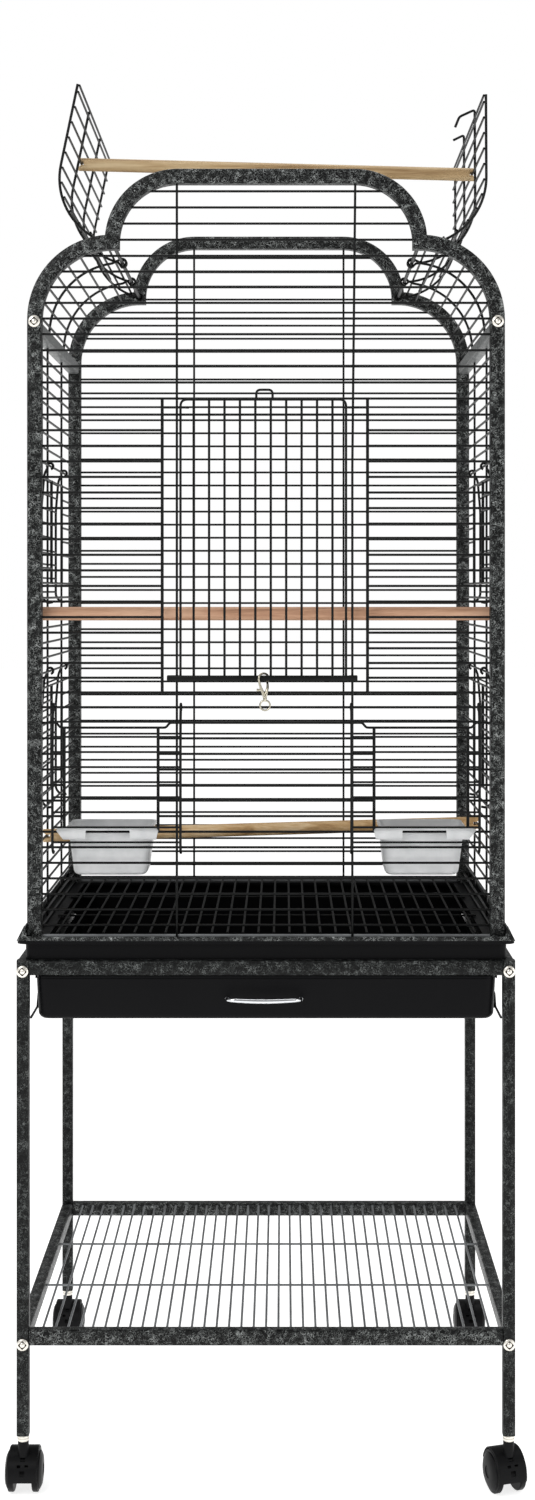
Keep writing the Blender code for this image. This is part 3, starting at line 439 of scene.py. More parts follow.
panel = {
    "frontRows": 48, "sideRows": 38,
    **inMm({"firstRow": 579, "pitch": 16, "wire": 1.25, "edgeWire": 1.6, "sill": 568.2, "sideUpright": 65}),
    "raise": 2.3 * mm,          # the uprights are welded on the outside of the rows
    "past": 1 * mm,             # how far they run past the wire they end on
    "sink": 1 * mm,             # how far a row's end goes into the tube
    "longX": 91.6 * mm,
    "frontLongX": 88.6 * mm,    # the front's right upright stands nearer the middle
    "leanFrom": 1.05,           # and leans back to its even place above this height
    # how far the hand-welded rows stray from the even pitch, as (row, height in mm)
    "lift": {
        "front": [(0, 0), (14, 0), (18, -3.4), (33, -3.2), (38, -0.5), (43, 0), (47, 2.4)],
        "rear": [(0, -7.5), (36, -7.5), (40, -3.7), (45, -3.7), (47, -0.9)],
    },
}
doorway = {"x": inMm((-106.8, 104.3)), "barRows": (15, 34), "cutRows": (16, 32)}
guide = {"row": 33, **inMm({"up": 3.5, "turn": 82.5, "tip": 79.5, "out": 6.4, "wire": 1.1})}
feeder = {"rows": (6, 13), **inMm({"x": (111, 207.5), "dip": 5, "slope": 4})}
sideDoors = {"rows": {"upper": 30, "lower": 16}, "opening": (8, 1), "y": inMm((-49, 47)), "middle": 4.8 * mm}
sideHalf = faceY - tube / 2 + panel["sink"]
wire, edgeWire, past = panel["wire"], panel["edgeWire"], panel["past"]


def rowZ(k):
    return panel["firstRow"] + panel["pitch"] * k


def weldedRowZ(side, k):
    lifts = panel["lift"][side]
    for (first, low), (last, high) in zip(lifts, lifts[1:]):
        if first <= k <= last:
            return rowZ(k) + (low + (high - low) * (k - first) / (last - first)) * mm


def innerHalf(z):
    # half the width between the arch's tubes at a height
    reach = tube / 2
    if z <= arch["postTop"]:
        half = postX - reach
    elif z < notchZ - reach:
        half = notchX + math.sqrt((arch["shoulderRadius"] - reach) ** 2 - (z - arch["postTop"]) ** 2)
    elif z < notchZ:
        half = notchX - reach
    else:
        half = crownX + math.sqrt((arch["crownRadius"] - reach) ** 2 - (z - notchZ) ** 2)
    return half + panel["sink"]


def panelPlace(side):
    turn = {"front": 0, "right": 90, "rear": 180, "left": -90}[side]
    distance = faceY if side in ("front", "rear") else postX
    return spun(turn, "Z") @ shift((0, -distance, 0))


def row(spans, z, radius=wire, out=0.0):
    return [([(start, -out, z), (end, -out, z)], radius) for start, end in spans]


def upright(x, low, high, out=0.0, radius=wire, past=past):
    return [([(x, -out, low - past), (x, -out, high + past)], radius)]


def cutOut(spans, low, high):
    left = []
    for start, end in spans:
        if high <= start or low >= end:
            left.append((start, end))
        else:
            left += [(start, low), (high, end)]
    return left


def dippedRow(z):
    # the row over the feeder openings steps down across each of them
    inner, outer = feeder["x"][0] - 8 * mm, feeder["x"][1] + 4 * mm
    dip, slope = z - feeder["dip"], feeder["slope"]
    right = [(inner - slope, 0, z), (inner, 0, dip), (outer, 0, dip), (outer + slope, 0, z),
             (innerHalf(z), 0, z)]
    left = [(-x, y, height) for x, y, height in reversed(right)]
    return [(bent(left + right, 2 * mm, 3), wire)]


def doorGuide(side):
    # a wire that holds the sliding door against the panel
    z, out, start = rowZ(guide["row"]) + guide["up"], -guide["out"], doorway["x"][side > 0]
    path = [(start, 0, z), (start, out, z), (side * guide["turn"], out, z), (side * guide["tip"], -4 * mm, z)]
    return [(bent(path, 1.5 * mm, 4), guide["wire"])]


def frontRuns():
    runs = []
    for k in range(panel["frontRows"]):
        z = weldedRowZ("front", k)
        spans = [(-innerHalf(z), innerHalf(z))]
        if doorway["cutRows"][0] <= k <= doorway["cutRows"][1]:
            spans = cutOut(spans, *doorway["x"])
        if feeder["rows"][0] < k < feeder["rows"][1]:
            spans = cutOut(spans, *feeder["x"])
            spans = cutOut(spans, -feeder["x"][1], -feeder["x"][0])
        runs += dippedRow(z) if k == feeder["rows"][1] else row(spans, z)
    low, high, out = panel["sill"], crownZ - tube / 2, panel["raise"]
    runs += upright(-panel["longX"], low, high, out)
    lean = [(panel["frontLongX"], -out, low - past), (panel["frontLongX"], -out, panel["leanFrom"]),
            (panel["longX"], -out, high + past)]
    runs.append((lean, wire))
    for x in doorway["x"]:
        runs += upright(x, *[weldedRowZ("front", k) for k in doorway["barRows"]], 0, edgeWire)
    low, high = rowZ(feeder["rows"][0]), rowZ(feeder["rows"][1]) - feeder["dip"]
    for side in (-1, 1):
        for x in feeder["x"]:
            runs += upright(side * x, low, high, 0, edgeWire)
        runs += doorGuide(side)
    return runs


def rearRuns():
    runs = []
    for k in range(panel["frontRows"]):
        z = weldedRowZ("rear", k)
        runs += row([(-innerHalf(z), innerHalf(z))], z)
    for x in (-panel["longX"], panel["longX"]):
        runs += upright(x, panel["sill"], crownZ - tube / 2, panel["raise"])
    return runs


def sideRuns(side):
    low, high = sideDoors["y"]
    opening = (low, high) if side == "right" else (-high, -low)
    openRows = [[hinge - below for below in sideDoors["opening"]] for hinge in sideDoors["rows"].values()]
    runs = row([(-sideHalf, sideHalf)], panel["sill"], edgeWire)
    for k in range(panel["sideRows"]):
        spans = [(-sideHalf, sideHalf)]
        for low, high in openRows:
            if low < k < high:
                spans = cutOut(spans, *opening)
        runs += row(spans, rowZ(k))
    for y in (-panel["sideUpright"], panel["sideUpright"]):
        runs += upright(y, panel["sill"], railBottom + 1 * mm, panel["raise"])
    for low, high in openRows:
        for y in opening:
            runs += upright(y, rowZ(low), rowZ(high), 0, edgeWire)
    return runs


sideWires = {"front": frontRuns(), "rear": rearRuns(), "left": sideRuns("left"), "right": sideRuns("right")}
for side, runs in sideWires.items():
    wirePiece(side + "Wires", runs, [side + "_wire_panel"], panelPlace(side))
# the sills get the light grey coat as a painted highlight: a bright line along the black sill wire where it
# catches the light
for side in ("front", "rear"):
    sill = row([(-innerHalf(0), innerHalf(0))], panel["sill"], edgeWire)
    wirePiece(side + "Sill", sill, [], panelPlace(side), coat=shelfCoatAndSillHighlight, roundness=3)
print("wire panels made")


# small doors that hang on a row and hook under a lower one

smallDoor = {"rows": 9, "feederRow": 14, **inMm({"width": 131, "rod": 1.4, "row": 1.1, "eye": 3.4,
                                                 "pitch": 15.4, "firstRow": -14.5, "feederX": 153.05})}


def smallDoorRuns():
    # two sides that hang from their eyes, stand out from the panel and hook inwards at the foot
    half, eye = smallDoor["width"] / 2, arc((0, 0), smallDoor["eye"], 255, -30, 12)
    leg = inMm([(6.5, -9), (9.5, -45), (9.5, -143), (3, -150), (-3, -148.6)])
    runs = []
    for x in (-half, half):
        foot = bent([(x, -out, z) for out, z in eye[-1:] + leg], 4 * mm, 4)
        runs.append(([(x, -out, z) for out, z in eye] + foot[1:], smallDoor["rod"]))
    (near, high), (far, low) = leg[:2]
    for i in range(smallDoor["rows"]):
        z = smallDoor["firstRow"] - smallDoor["pitch"] * i
        lean = min(1.0, max(0.0, (high - z) / (high - low)))
        runs += row([(-half, half)], z, smallDoor["row"], near + (far - near) * lean)
    return runs


for side, sign in hands:
    spots = {f"{side}_feeder_door": ("front", smallDoor["feederX"], smallDoor["feederRow"])}
    for level, k in sideDoors["rows"].items():
        spots[f"{side}_{level}_door"] = (side, sideDoors["middle"], k)
    for node, (onPanel, x, k) in spots.items():
        hung = panelPlace(onPanel) @ shift((sign * x, 0, rowZ(k)))
        wirePiece(pieceName(node), smallDoorRuns(), [node], hung, node)
print("small doors made")


# main door

mainDoor = {"wires": 10, **inMm({
    "bottom": 830.2, "top": 1119, "out": 3.4, "corner": 7, "edges": (-87.8, 82.1), "firstWire": -74.3,
    "pitch": 15.83, "bar": 5.7,
    "loop": (-10, 6.7, 10),     # the finger loop's sides and height
    # the bar's right and left end, its inside, and where its catch ends behind the long upright
    "barEnds": [(93.8, 90.4, 85), (101.6, 97.1, 88)],
})}


def doorBarMesh():
    # a flat bar whose ends hook round behind the long uprights
    front, back, tail, deep = inMm((8.4, 3.9, 0.5, -2.6))
    right, left = [[(end, front), (end, deep), (catch, deep), (catch, tail), (inside, tail), (inside, back)]
                   for end, inside, catch in mainDoor["barEnds"]]
    outline = [(x, -out, mainDoor["bottom"]) for x, out in right + [(-x, out) for x, out in reversed(left)]]
    return toMesh(flatShape(outline, (0, 0, mainDoor["bar"]), 0.7 * mm), panelPlace("front"))


def doorRuns():
    (left, right), top, out = mainDoor["edges"], mainDoor["top"], mainDoor["out"]
    foot = mainDoor["bottom"] + 2.5 * mm
    hoop = [(x, -out, z) for x, z in ((left, foot), (left, top), (right, top), (right, foot))]
    runs = [(bent(hoop, mainDoor["corner"], 6), wire)]
    for i in range(mainDoor["wires"]):
        runs += upright(mainDoor["firstWire"] + mainDoor["pitch"] * i, foot, top, out, past=0)
    start, end, rise = mainDoor["loop"]
    loop = [(x, -out, z) for x, z in ((start, top), (start, top + rise), (end, top + rise), (end, top))]
    return runs + [(bent(loop, 4.5 * mm, 5), wire)]


doorMesh = joinMeshes([wireMesh(doorRuns(), 2, panelPlace("front")), doorBarMesh()])
smoothPiece("mainDoor", doorMesh, wireCoat, "main_door", ["main_door"], 60)

# the snap clip is drawn in mm from the middle of the door's bar
clip = {
    "place": (-2.5 * mm, -6.15 * mm, mainDoor["bottom"] + 2.85 * mm),
    "reach": 4.9,               # from the bar's middle to the hook, seen from the end
    "half": 5.0,                # to each side, as the hook stands turned to the bar
    "rod": 1.1,
    "front": 4.35,
    "ring": (1.5, -27.5, 5.1),
}


def clipRuns():
    # a sprung hook round the door's bar: its spine and its gate meet in a thick neck over the swivel's ring
    reach, half, rod, front = clip["reach"], clip["half"], clip["rod"], clip["front"]
    hook = [(-half * out / reach, -out, z) for out, z in arc((0, 0), reach, -10, 225, 28)]
    spine = [(0.9, -front, -19.5), (-0.4, -front, -15), (-2.6, -front - 0.2, -10), (-3.9, -front - 0.3, -6)]
    gate = [(4.2, -0.6, -6.5), (4.2, -2.6, -9.5), (2.9, -front, -14), (1.8, -front, -19.5)]
    lever = [(-1.9, -front - 0.2, -11.5), (-4.4, -front - 0.8, -11.9), (-6.9, -front - 1.2, -11.9)]
    neck = [(x, -front, z) for x, z in ((1.2, -17), (1.4, -19.5), (1.5, -21), (1.5, -22.8), (1.5, -23.6))]
    x, z, radius = clip["ring"]
    ring = [(u, -front, v) for u, v in arc((x, z), radius, 90, 450, 28)]
    return [(spine + hook + gate, lambda p: rod + 0.5 * min(1, max(0, (-p[2] - 5) / 8))), (ring, 0.9),
            (lever, lambda p: 0.9 + 0.14 * (-p[0] - 1.9)), (neck, lambda p: 2.1 - 0.3 * abs(p[2] + 21))]


onBar = panelPlace("front") @ shift(clip["place"]) @ Matrix.Scale(mm, 4)
clipMesh = placed(wireMesh(clipRuns(), 4), onBar)
smoothPiece("snapClip", clipMesh, nickelPlate, "snap_clip", ["snap_clip"], 40)
print("main door made")


# shoulders and roof

flap = {"wires": 12, "open": {"left": 78.2, "right": 89.7},
        **inMm({"radius": 70, "reach": 155, "half": 176.5, "arcs": 62, "first": 11, "rod": 1.4, "ring": 4.2,
                "hingeRod": 2})}
shoulder = {"wires": 7, **inMm({"arcs": 68, "first": 7})}


def shoulderRuns():
    # the right shoulder, origin on the hinge rod, x outward
    radius, inside = arch["shoulderRadius"], arch["shoulderRadius"] - panel["raise"]
    path = arc((0, -radius), radius, 0, 82, 20) + arc((0, 0), flap["ring"], 75, 300, 12)
    runs = [([(x, y, z) for x, z in path], flap["rod"]) for y in (-shoulder["arcs"], shoulder["arcs"])]
    for k in range(shoulder["wires"]):
        angle = (shoulder["first"] + panel["pitch"] * k) / radius
        x, z = inside * math.cos(angle), -radius + inside * math.sin(angle)
        runs.append(([(x, -sideHalf, z), (x, sideHalf, z)], wire))
    return runs


def flapPoint(length, inset=0.0):
    radius = flap["radius"]
    quarter = radius * math.pi / 2
    if length < quarter:
        angle = length / radius
        return radius - (radius - inset) * math.cos(angle), (radius - inset) * math.sin(angle)
    return radius + length - quarter, radius - inset


def flapRuns(side):
    # a closed flap, origin on the hinge rod, x towards the middle of the cage
    radius, reach, half, arcs = flap["radius"], flap["reach"], flap["half"], flap["arcs"]
    hoop = arc((0, 0), flap["ring"], 60, -180, 12) + arc((radius, 0), radius, 176, 90, 20) + [(reach, radius)]
    latches = {}
    if side == "right":
        latches = {-arcs: inMm([(168, 70), (160.5, 53.2), (149, 48.5)]), arcs: inMm([(170, 70), (164, 57.6)])}
    runs = []
    for y in (-half, -arcs, arcs, half):
        path = [(x, y, z) for x, z in hoop]
        if y in latches:
            path = path[:-1] + bent(path[-1:] + [(x, y, z) for x, z in latches[y]], 3 * mm, 4)
        runs.append((path, flap["rod"]))
    lengths = [flap["first"] + panel["pitch"] * k for k in range(flap["wires"])]
    lengths.append(radius * math.pi / 2 + reach - radius - 1.2 * mm)
    for length in lengths:
        x, z = flapPoint(length, panel["raise"])
        runs.append(([(x, -half - past, z), (x, half + past, z)], wire))
    return runs


for side, sign in hands:
    rail = toMesh(block(bmesh.new(), *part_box(side + "_shoulder_rail"), 1.6 * mm, 3, along=1))
    smoothPiece(side + "Rail", rail, hammerGrey, "cage", [side + "_shoulder_rail"])
    atRod = shift((sign * notchX, 0, notchZ))
    outward = atRod @ Matrix.Scale(sign, 4, (1, 0, 0))
    wirePiece(side + "Shoulder", shoulderRuns(), [side + "_shoulder_panel"], outward)
    rod = [([(0, -sideHalf, 0), (0, sideHalf, 0)], flap["hingeRod"])]
    wirePiece(side + "HingeRod", rod, [side + "_roof_hinge_rod"], atRod, roundness=4)
    swung = atRod @ spun(sign * flap["open"][side], "Y") @ Matrix.Scale(-sign, 4, (1, 0, 0))
    wirePiece(side + "Flap", flapRuns(side), [side + "_roof_flap"], swung, side + "_roof_flap")
print("roof made")


# perches

perch = inMm({"radius": 7, "slot": 3.6, "mouth": 9, "flare": 4, "grip": 3.5, "chamfer": 0.8})


def perchMesh(start, end, depth):
    # a dowel with chamfered ends and a slot in each for the wire it hangs on
    start, end = Vector(start), Vector(end)
    length, radius, ease = (end - start).length, perch["radius"], perch["chamfer"]
    profile = [(0, 0), (radius - ease, 0), (radius, ease), (radius, length - ease), (radius - ease, length),
               (0, length)]
    place = shift(start) @ (end - start).to_track_quat("Z", "Y").to_matrix().to_4x4()
    low, wide, past = perch["slot"] / 2, perch["mouth"] / 2, 2 * mm
    upper = [(-depth, low), (-perch["flare"], low), (past, wide + (wide - low) / perch["flare"] * past)]
    outline = upper + [(x, -z) for x, z in reversed(upper)]
    slots = [flatShape([(tip.x + sign * x, tip.y - 30 * mm, tip.z + z) for x, z in outline], (0, 60 * mm, 0))
             for tip, sign in ((start, -1), (end, 1))]
    return cutMesh(turned(profile, 36, place), [toMesh(slot) for slot in slots])


def flapWirePlace(side, index=8):
    # where a cross wire of an open flap is, as (x, z)
    x, z = flapPoint(flap["first"] + panel["pitch"] * index, panel["raise"])
    angle = math.radians(flap["open"][side])
    across, height = x * math.cos(angle) - z * math.sin(angle), x * math.sin(angle) + z * math.cos(angle)
    return (-1 if side == "left" else 1) * (notchX - across), notchZ + height


# wood, the wire at each end as (x, z), how far back each end is and the depth of the slots
perches = {
    "top": (agedDowel, flapWirePlace("left"), flapWirePlace("right"), inMm((-52, -52, 6.5))),
    "middle": (pinkDowel, (-postX, rowZ(20)), (postX, rowZ(20)), inMm((-170, -170, 6.5))),
    "lower": (paleDowel, (-postX, rowZ(5)), (postX, rowZ(5)), inMm((-95, 20, 8))),
}
for name, (wood, left, right, (leftY, rightY, depth)) in perches.items():
    start, end = (left[0] - perch["grip"], leftY, left[1]), (right[0] + perch["grip"], rightY, right[1])
    mesh = perchMesh(start, end, depth)
    smoothPiece(name + "Perch", mesh, wood, "cage", [name + "_perch"], 40)
print("perches made")


# feeder cups

cup = inMm({
    "centre": (161, -153), "half": (42, 30), "footHalf": (36, 25), "top": 680, "bottom": 631,
    "corner": 9, "foot": 3, "wall": 2, "rim": 2.5, "drop": 3,
    "plate": (110.6, 215.6), "plateThick": 3.5, "plateBottom": 667.5, "notch": (140, 185),
    "bridge": (114.5, 204), "out": 5.5,
})


def thicken(bm, wall):
    bmesh.ops.recalc_face_normals(bm, faces=bm.faces)
    bmesh.ops.solidify(bm, geom=bm.faces[:], thickness=wall)


def resize(bm, spots, middle, old, new):
    # widens or narrows a level about its middle, from one half size to another
    factors = Matrix.Diagonal((new[0] / old[0], new[1] / old[1], 1.0, 1.0))
    bmesh.ops.transform(bm, verts=spots, matrix=factors, space=shift((-middle[0], -middle[1], 0)))


def tubMesh(middle, half, footHalf, bottom, top, shape):
    # a tapered tub with rounded corners and no lid, whose rim turns outwards and down
    (x, y), (reachX, reachY), near = middle, half, 0.01 * mm
    low, high = (x - reachX, y - reachY, bottom), (x + reachX, y + reachY, top)
    bm = block(bmesh.new(), low, high, shape["corner"], 6, along=2)
    resize(bm, [v for v in bm.verts if v.co.z < (bottom + top) / 2], middle, half, footHalf)
    easeEdges(bm, [e for e in bm.edges if all(v.co.z < bottom + near for v in e.verts)], shape["foot"], 4)
    lids = [f for f in bm.faces if f.calc_center_median().z > top - near]
    bmesh.ops.delete(bm, geom=lids, context="FACES_ONLY")
    for grow, drop in ((shape["rim"], 0), (0, shape["drop"])):
        made = bmesh.ops.extrude_edge_only(bm, edges=[e for e in bm.edges if e.is_boundary])["geom"]
        resize(bm, only(BMVert, made), middle, half, (reachX + grow, reachY + grow))
        bmesh.ops.translate(bm, verts=only(BMVert, made), vec=(0, 0, -drop))
    thicken(bm, shape["wall"])
    return toMesh(bm)


def cupMesh():
    # the right cup: tub, hooked bridge over the sill wire, and the flange plate outside
    tub = tubMesh(cup["centre"], cup["half"], cup["footHalf"], cup["bottom"], cup["top"], cup)
    (left, right), (notchLeft, notchRight), (start, end) = cup["plate"], cup["notch"], cup["bridge"]
    low, high, ease, outer = cup["plateBottom"], cup["top"], 3 * mm, -faceY - cup["out"]
    notchTop = high - 3.2 * mm
    outline = [(left + 2 * mm, low), (notchLeft, low), (notchLeft, notchTop), (notchRight, notchTop),
               (notchRight, low), (right - 7.5 * mm, low), (right, high - ease), (right - ease, high),
               (left + ease, high), (left, high - ease)]
    plate = flatShape([(x, outer, z) for x, z in outline], (0, cup["plateThick"], 0), 0.6 * mm)
    bridge = block(bmesh.new(), (start, outer + 1 * mm, high - 2.9 * mm), (end, -184 * mm, high - 0.3 * mm),
                   0.5 * mm, 2)
    return joinMeshes([tub, toMesh(plate), toMesh(bridge)])


for side, sign in hands:
    mesh, node = placed(cupMesh(), Matrix.Scale(sign, 4, (1, 0, 0))), side + "_feeder_cup"
    smoothPiece(side + "Cup", mesh, cupPlastic, node, [node], 40)
print("cups made")


# base, seed guard and floor grate

base = inMm({
    "half": (246.5, 200), "bottom": 546.3, "top": 566, "corner": 9, "lip": 7.5, "flange": 21.5, "wall": 3,
    "lipDrop": (4.5, 3),        # where the lip starts and turns up, below the top
})
rib = inMm({"x": 239.8, "y": 191.6, "thick": 1.6, "front": -168, "sideLow": 520.5, "rearLow": 526})


def ribMesh():
    # ribs under the flange that sit inside the stand's rails and close the gap above the drawer
    x, y, thick, top, ease = rib["x"], rib["y"], rib["thick"], base["top"] - 2 * mm, 0.3 * mm
    bm = bmesh.new()
    for sign in (-1, 1):
        block(bm, (sign * x, rib["front"], rib["sideLow"]), (sign * (x - thick), y, top), ease, 1)
    return toMesh(block(bm, (-x, y - thick, rib["rearLow"]), (x, y, top), ease, 1))


def baseMesh():
    # skirt, lip and inner flange, drawn as one sheet and thickened
    (x, y), lip, bottom, top = base["half"], base["lip"], base["bottom"], base["top"]
    under, edge = [top - drop for drop in base["lipDrop"]]
    bm = block(bmesh.new(), (-x, -y, bottom), (x, y, under), base["corner"], 6, along=2)
    bmesh.ops.delete(bm, geom=[f for f in bm.faces if abs(f.normal.z) > 0.9], context="FACES_ONLY")
    edges = [e for e in bm.edges if e.is_boundary and e.verts[0].co.z > bottom + 1 * mm]
    for old, new, z in ((0, lip, edge), (lip, lip, top), (lip, -base["flange"], top)):
        made = bmesh.ops.extrude_edge_only(bm, edges=edges)["geom"]
        spots, edges = only(BMVert, made), [e for e in only(BMEdge, made) if e.is_boundary]
        resize(bm, spots, (0, 0), (x + old, y + old), (x + new, y + new))
        for spot in spots:
            spot.co.z = z
    bmesh.ops.remove_doubles(bm, verts=bm.verts, dist=0.01 * mm)
    thicken(bm, base["wall"])
    return joinMeshes([toMesh(bm), ribMesh()])


smoothPiece("baseSkirt", baseMesh(), absBlack, "cage", ["base_skirt"], 40)

guard = inMm({"low": 570.6, "high": 581.5, "thick": 1.5, "inner": 243, "crest": 246})


def guardMeshes():
    # upright strips front and rear, sloping strips at the sides
    foot, high, thick, crest = base["top"] + 0.3 * mm, guard["high"], guard["thick"], guard["crest"]
    edgeX, edgeY = [half + base["lip"] for half in base["half"]]
    right = [(guard["inner"], guard["low"]), (crest + 0.2 * mm, high + 0.3 * mm), (edgeX, foot)]
    outline = right + [(-x, z) for x, z in reversed(right)]
    strips = [flatShape([(x, y, z) for x, z in outline], (0, thick, 0), 0.3 * mm)
              for y in (-edgeY, edgeY - thick)]
    slope = [(edgeX, foot), (crest, high), (crest - 0.7 * mm, high - 0.8 * mm), (edgeX - 2.2 * mm, foot)]
    start, length = -edgeY + 0.5 * mm, 2 * edgeY - 1 * mm
    slopes = [flatShape([(sign * x, start, z) for x, z in slope], (0, length, 0), 0.2 * mm, 1)
              for sign in (-1, 1)]
    return [joinMeshes([toMesh(bm) for bm in group]) for group in (strips, slopes)]


guardEnds, guardSides = guardMeshes()
smoothPiece("seedGuard", guardEnds, hammerBlack, "cage", ["seed_guard"])
smoothPiece("seedGuardSides", guardSides, hammerGrey, "cage")

grate = {"wires": 28, "top": base["top"] + 1.5 * mm + panel["raise"],
         **inMm({"pitch": 16, "half": (228.5, 182), "cross": 62})}


def gridRuns(wires, pitch, half, cross, top):
    # wires from front to rear, welded on two that cross below them
    places, low = [(i - (wires - 1) / 2) * pitch for i in range(wires)], top - panel["raise"]
    runs = [([(x, -half[1], top), (x, half[1], top)], wire) for x in places]
    return runs + [([(-half[0], y, low), (half[0], y, low)], wire) for y in (-cross, cross)]


wirePiece("floorGrate", gridRuns(**grate), ["floor_grate"], coat=grateCoat)
print("base made")


# stand and shelf

stand = {"corner": 2 * mm}
sides = (("front", 0), ("rear", 0), ("left", 1), ("right", 1))
bars = [(f"{end}_{hand}_leg", 2, hammerStand) for end in ("front", "rear") for hand in ("left", "right")]
bars += [(f"{side}_{level}_rail", along, coat) for side, along in sides
         for level, coat in (("top", hammerStand), ("shelf", hammerBlack))]
for node, along, coat in bars:
    bar = toMesh(block(bmesh.new(), *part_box(node), stand["corner"], 3, along))
    smoothPiece(pieceName(node), bar, coat, "cage", [node])

shelf = {"wires": 37, "pitch": 12.7 * mm, "half": [place - legSize / 2 + 1 * mm for place in (legX, legY)],
         "cross": 65 * mm, "top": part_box("front_shelf_rail")[1].z - 3 * mm}
wirePiece("shelfWires", gridRuns(**shelf), ["shelf_grid"], coat=shelfCoatAndSillHighlight)

runner = inMm({"wall": 2, "ledge": 2, "slope": 50, "step": 9})
for side, sign in hands:
    low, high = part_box(side + "_drawer_runner")
    ledge, slope = low.z + runner["ledge"], low.y + runner["slope"]
    outline = [(low.y, low.z), (low.y, ledge), (slope, ledge), (slope + runner["step"], high.z),
               (high.y, high.z), (high.y, low.z)]
    outer = high.x if sign > 0 else low.x
    wall = flatShape([(outer, y, z) for y, z in outline], (-sign * runner["wall"], 0, 0), 0.4 * mm)
    foot = block(bmesh.new(), (low.x, slope, low.z), (high.x, high.y, ledge), 0.4 * mm, 2)
    mesh = joinMeshes([toMesh(wall), toMesh(foot)])
    smoothPiece(side + "Runner", mesh, hammerStand, "cage", [side + "_drawer_runner"])
print("stand made")


# drawer and handle

trayLow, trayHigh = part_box("drawer_tray")
drawer = inMm({"corner": 10, "foot": 4, "wall": 2.5, "rim": 1.5, "drop": 4, "taper": 2})
handle = inMm({"z": 507, "middle": -2, "half": 37.5, "reach": 20, "rise": 3.1, "thick": 2.4, "thin": 1.8,
               "sag": 1.5})


def drawerMesh():
    middle = ((trayLow.x + trayHigh.x) / 2, (trayLow.y + trayHigh.y) / 2)
    half = ((trayHigh.x - trayLow.x) / 2 - drawer["rim"], (trayHigh.y - trayLow.y) / 2 - drawer["rim"])
    return tubMesh(middle, half, [reach - drawer["taper"] for reach in half], trayLow.z, trayHigh.z, drawer)


def handleMesh():
    # a slender bow that is thickest in the middle, with its feet on the drawer
    front, z, middle, half, sag = trayLow.y, handle["z"], handle["middle"], handle["half"], handle["sag"]
    left, right, tip, high = middle - half, middle + half, front - handle["reach"], z + handle["rise"]
    corners = [(left, front, z), (left, tip, high), (left + half / 2, tip, high - sag * 0.7),
               (middle, tip, high - sag), (right - half / 2, tip, high - sag * 0.7), (right, tip, high),
               (right, front, z)]
    slimming = handle["thick"] - handle["thin"]
    bow = wireMesh([(bent(corners, 10 * mm, 8),
                     lambda p: handle["thick"] - slimming * min(1, abs(p.x - middle) / half) ** 2)], 6)
    foot = inMm([(0, 0), (2.5, 0), (2.5, 1.2), (2.1, 1.8), (0, 2)])
    feet = [turned(foot, 28, shift((x, front, z)) @ spun(90, "X")) for x in (left, right)]
    return joinMeshes([bow] + feet)


smoothPiece("drawerTray", drawerMesh(), absBlack, "drawer", ["drawer_tray"], 40)
smoothPiece("drawerHandle", handleMesh(), chromePlate, "drawer", ["drawer_handle"], 40)
print("drawer made")


# casters

caster = {
    **inMm({"trail": 10, "axle": 21.381, "core": 9, "coreRadius": 13.5, "stem": 5.6}),
    "wheel": 21.2,                      # mm
    "hood": inMm((21.9, 23.4, 15)),     # inside and outside radius, half width
    # windows round the hood, as degrees up from the front, and in mm across, half width and half height
    "windows": [(48, 0, 2.5, 2.6), (30, -3.6, 1.9, 1.4), (31, 4.2, 1.9, 1.0), (13, 0, 2.6, 2.6)],
    "turn": {"frontRight": 17.0},       # degrees
    "ring": inMm([(0, 55.8), (5.6, 55.8), (6, 56.4), (6, 58.4), (5.5, 58.8), (5.5, 59.3), (6, 59.7),
                  (6, 61.2), (5.6, 61.8), (0, 61.8)]),
}


def wheelMesh(place):
    # a domed wheel with a stepped rim and a sunk hub, axle along x
    radius = caster["wheel"]
    profile = inMm([(9.3, 0), (9.3, radius - 1), (10.3, radius), (14.6, radius), (15.2, radius - 0.4),
                    (15.4, radius - 2.4), (16.6, radius - 3), (18.4, 14.5), (19.1, 8.5), (19.2, 6.2),
                    (18.4, 5.7), (18.3, 0)])
    return turned(profile, 48, place, axis=(1, 0, 0))


def hoodMesh(place):
    # mudguard over both wheels, the block between them, the axle and the neck of the swivel
    trail, axle, wide, (inner, outer, half) = caster["trail"], caster["axle"], caster["core"], caster["hood"]
    start, ease = math.radians(15), 0.8 * mm
    section = [(-half, inner), (-half, outer - ease), (-half + ease, outer), (half - ease, outer),
               (half, outer - ease), (half, inner)]
    bm, cutters = bmesh.new(), []
    face = bm.faces.new([bm.verts.new((x, r * math.cos(start), r * math.sin(start))) for x, r in section])
    bmesh.ops.spin(bm, geom=[face] + face.edges[:] + face.verts[:], cent=(0, 0, 0), axis=(1, 0, 0),
                   angle=math.radians(175), steps=35)
    for degrees, x, reach, high in caster["windows"]:
        window = block(bmesh.new(), ((x - reach) * mm, -outer - 2 * mm, -high * mm),
                       ((x + reach) * mm, -inner + 2 * mm, high * mm))
        cutters.append(toMesh(window, spun(-degrees, "X")))
    shell = placed(cutMesh(toMesh(bm), cutters), place @ shift((0, trail, axle)))
    core = bmesh.new()
    turn = shift((-wide, trail, axle)) @ spun(90, "Y")
    bmesh.ops.create_circle(core, cap_ends=True, segments=40, radius=caster["coreRadius"], matrix=turn)
    extrudeFaces(core, core.faces[:], (2 * wide, 0, 0))
    web = block(bmesh.new(), (-wide, trail - 16 * mm, axle), (wide, trail + 14 * mm, axle + 17 * mm),
                1.5 * mm, 2)
    low, high = 40 * mm, 55.7 * mm
    stem = turned([(0, low), (caster["stem"], low), (caster["stem"], high), (0, high)], 32, place)
    return joinMeshes([shell, toMesh(core, place), toMesh(web, place), stem])


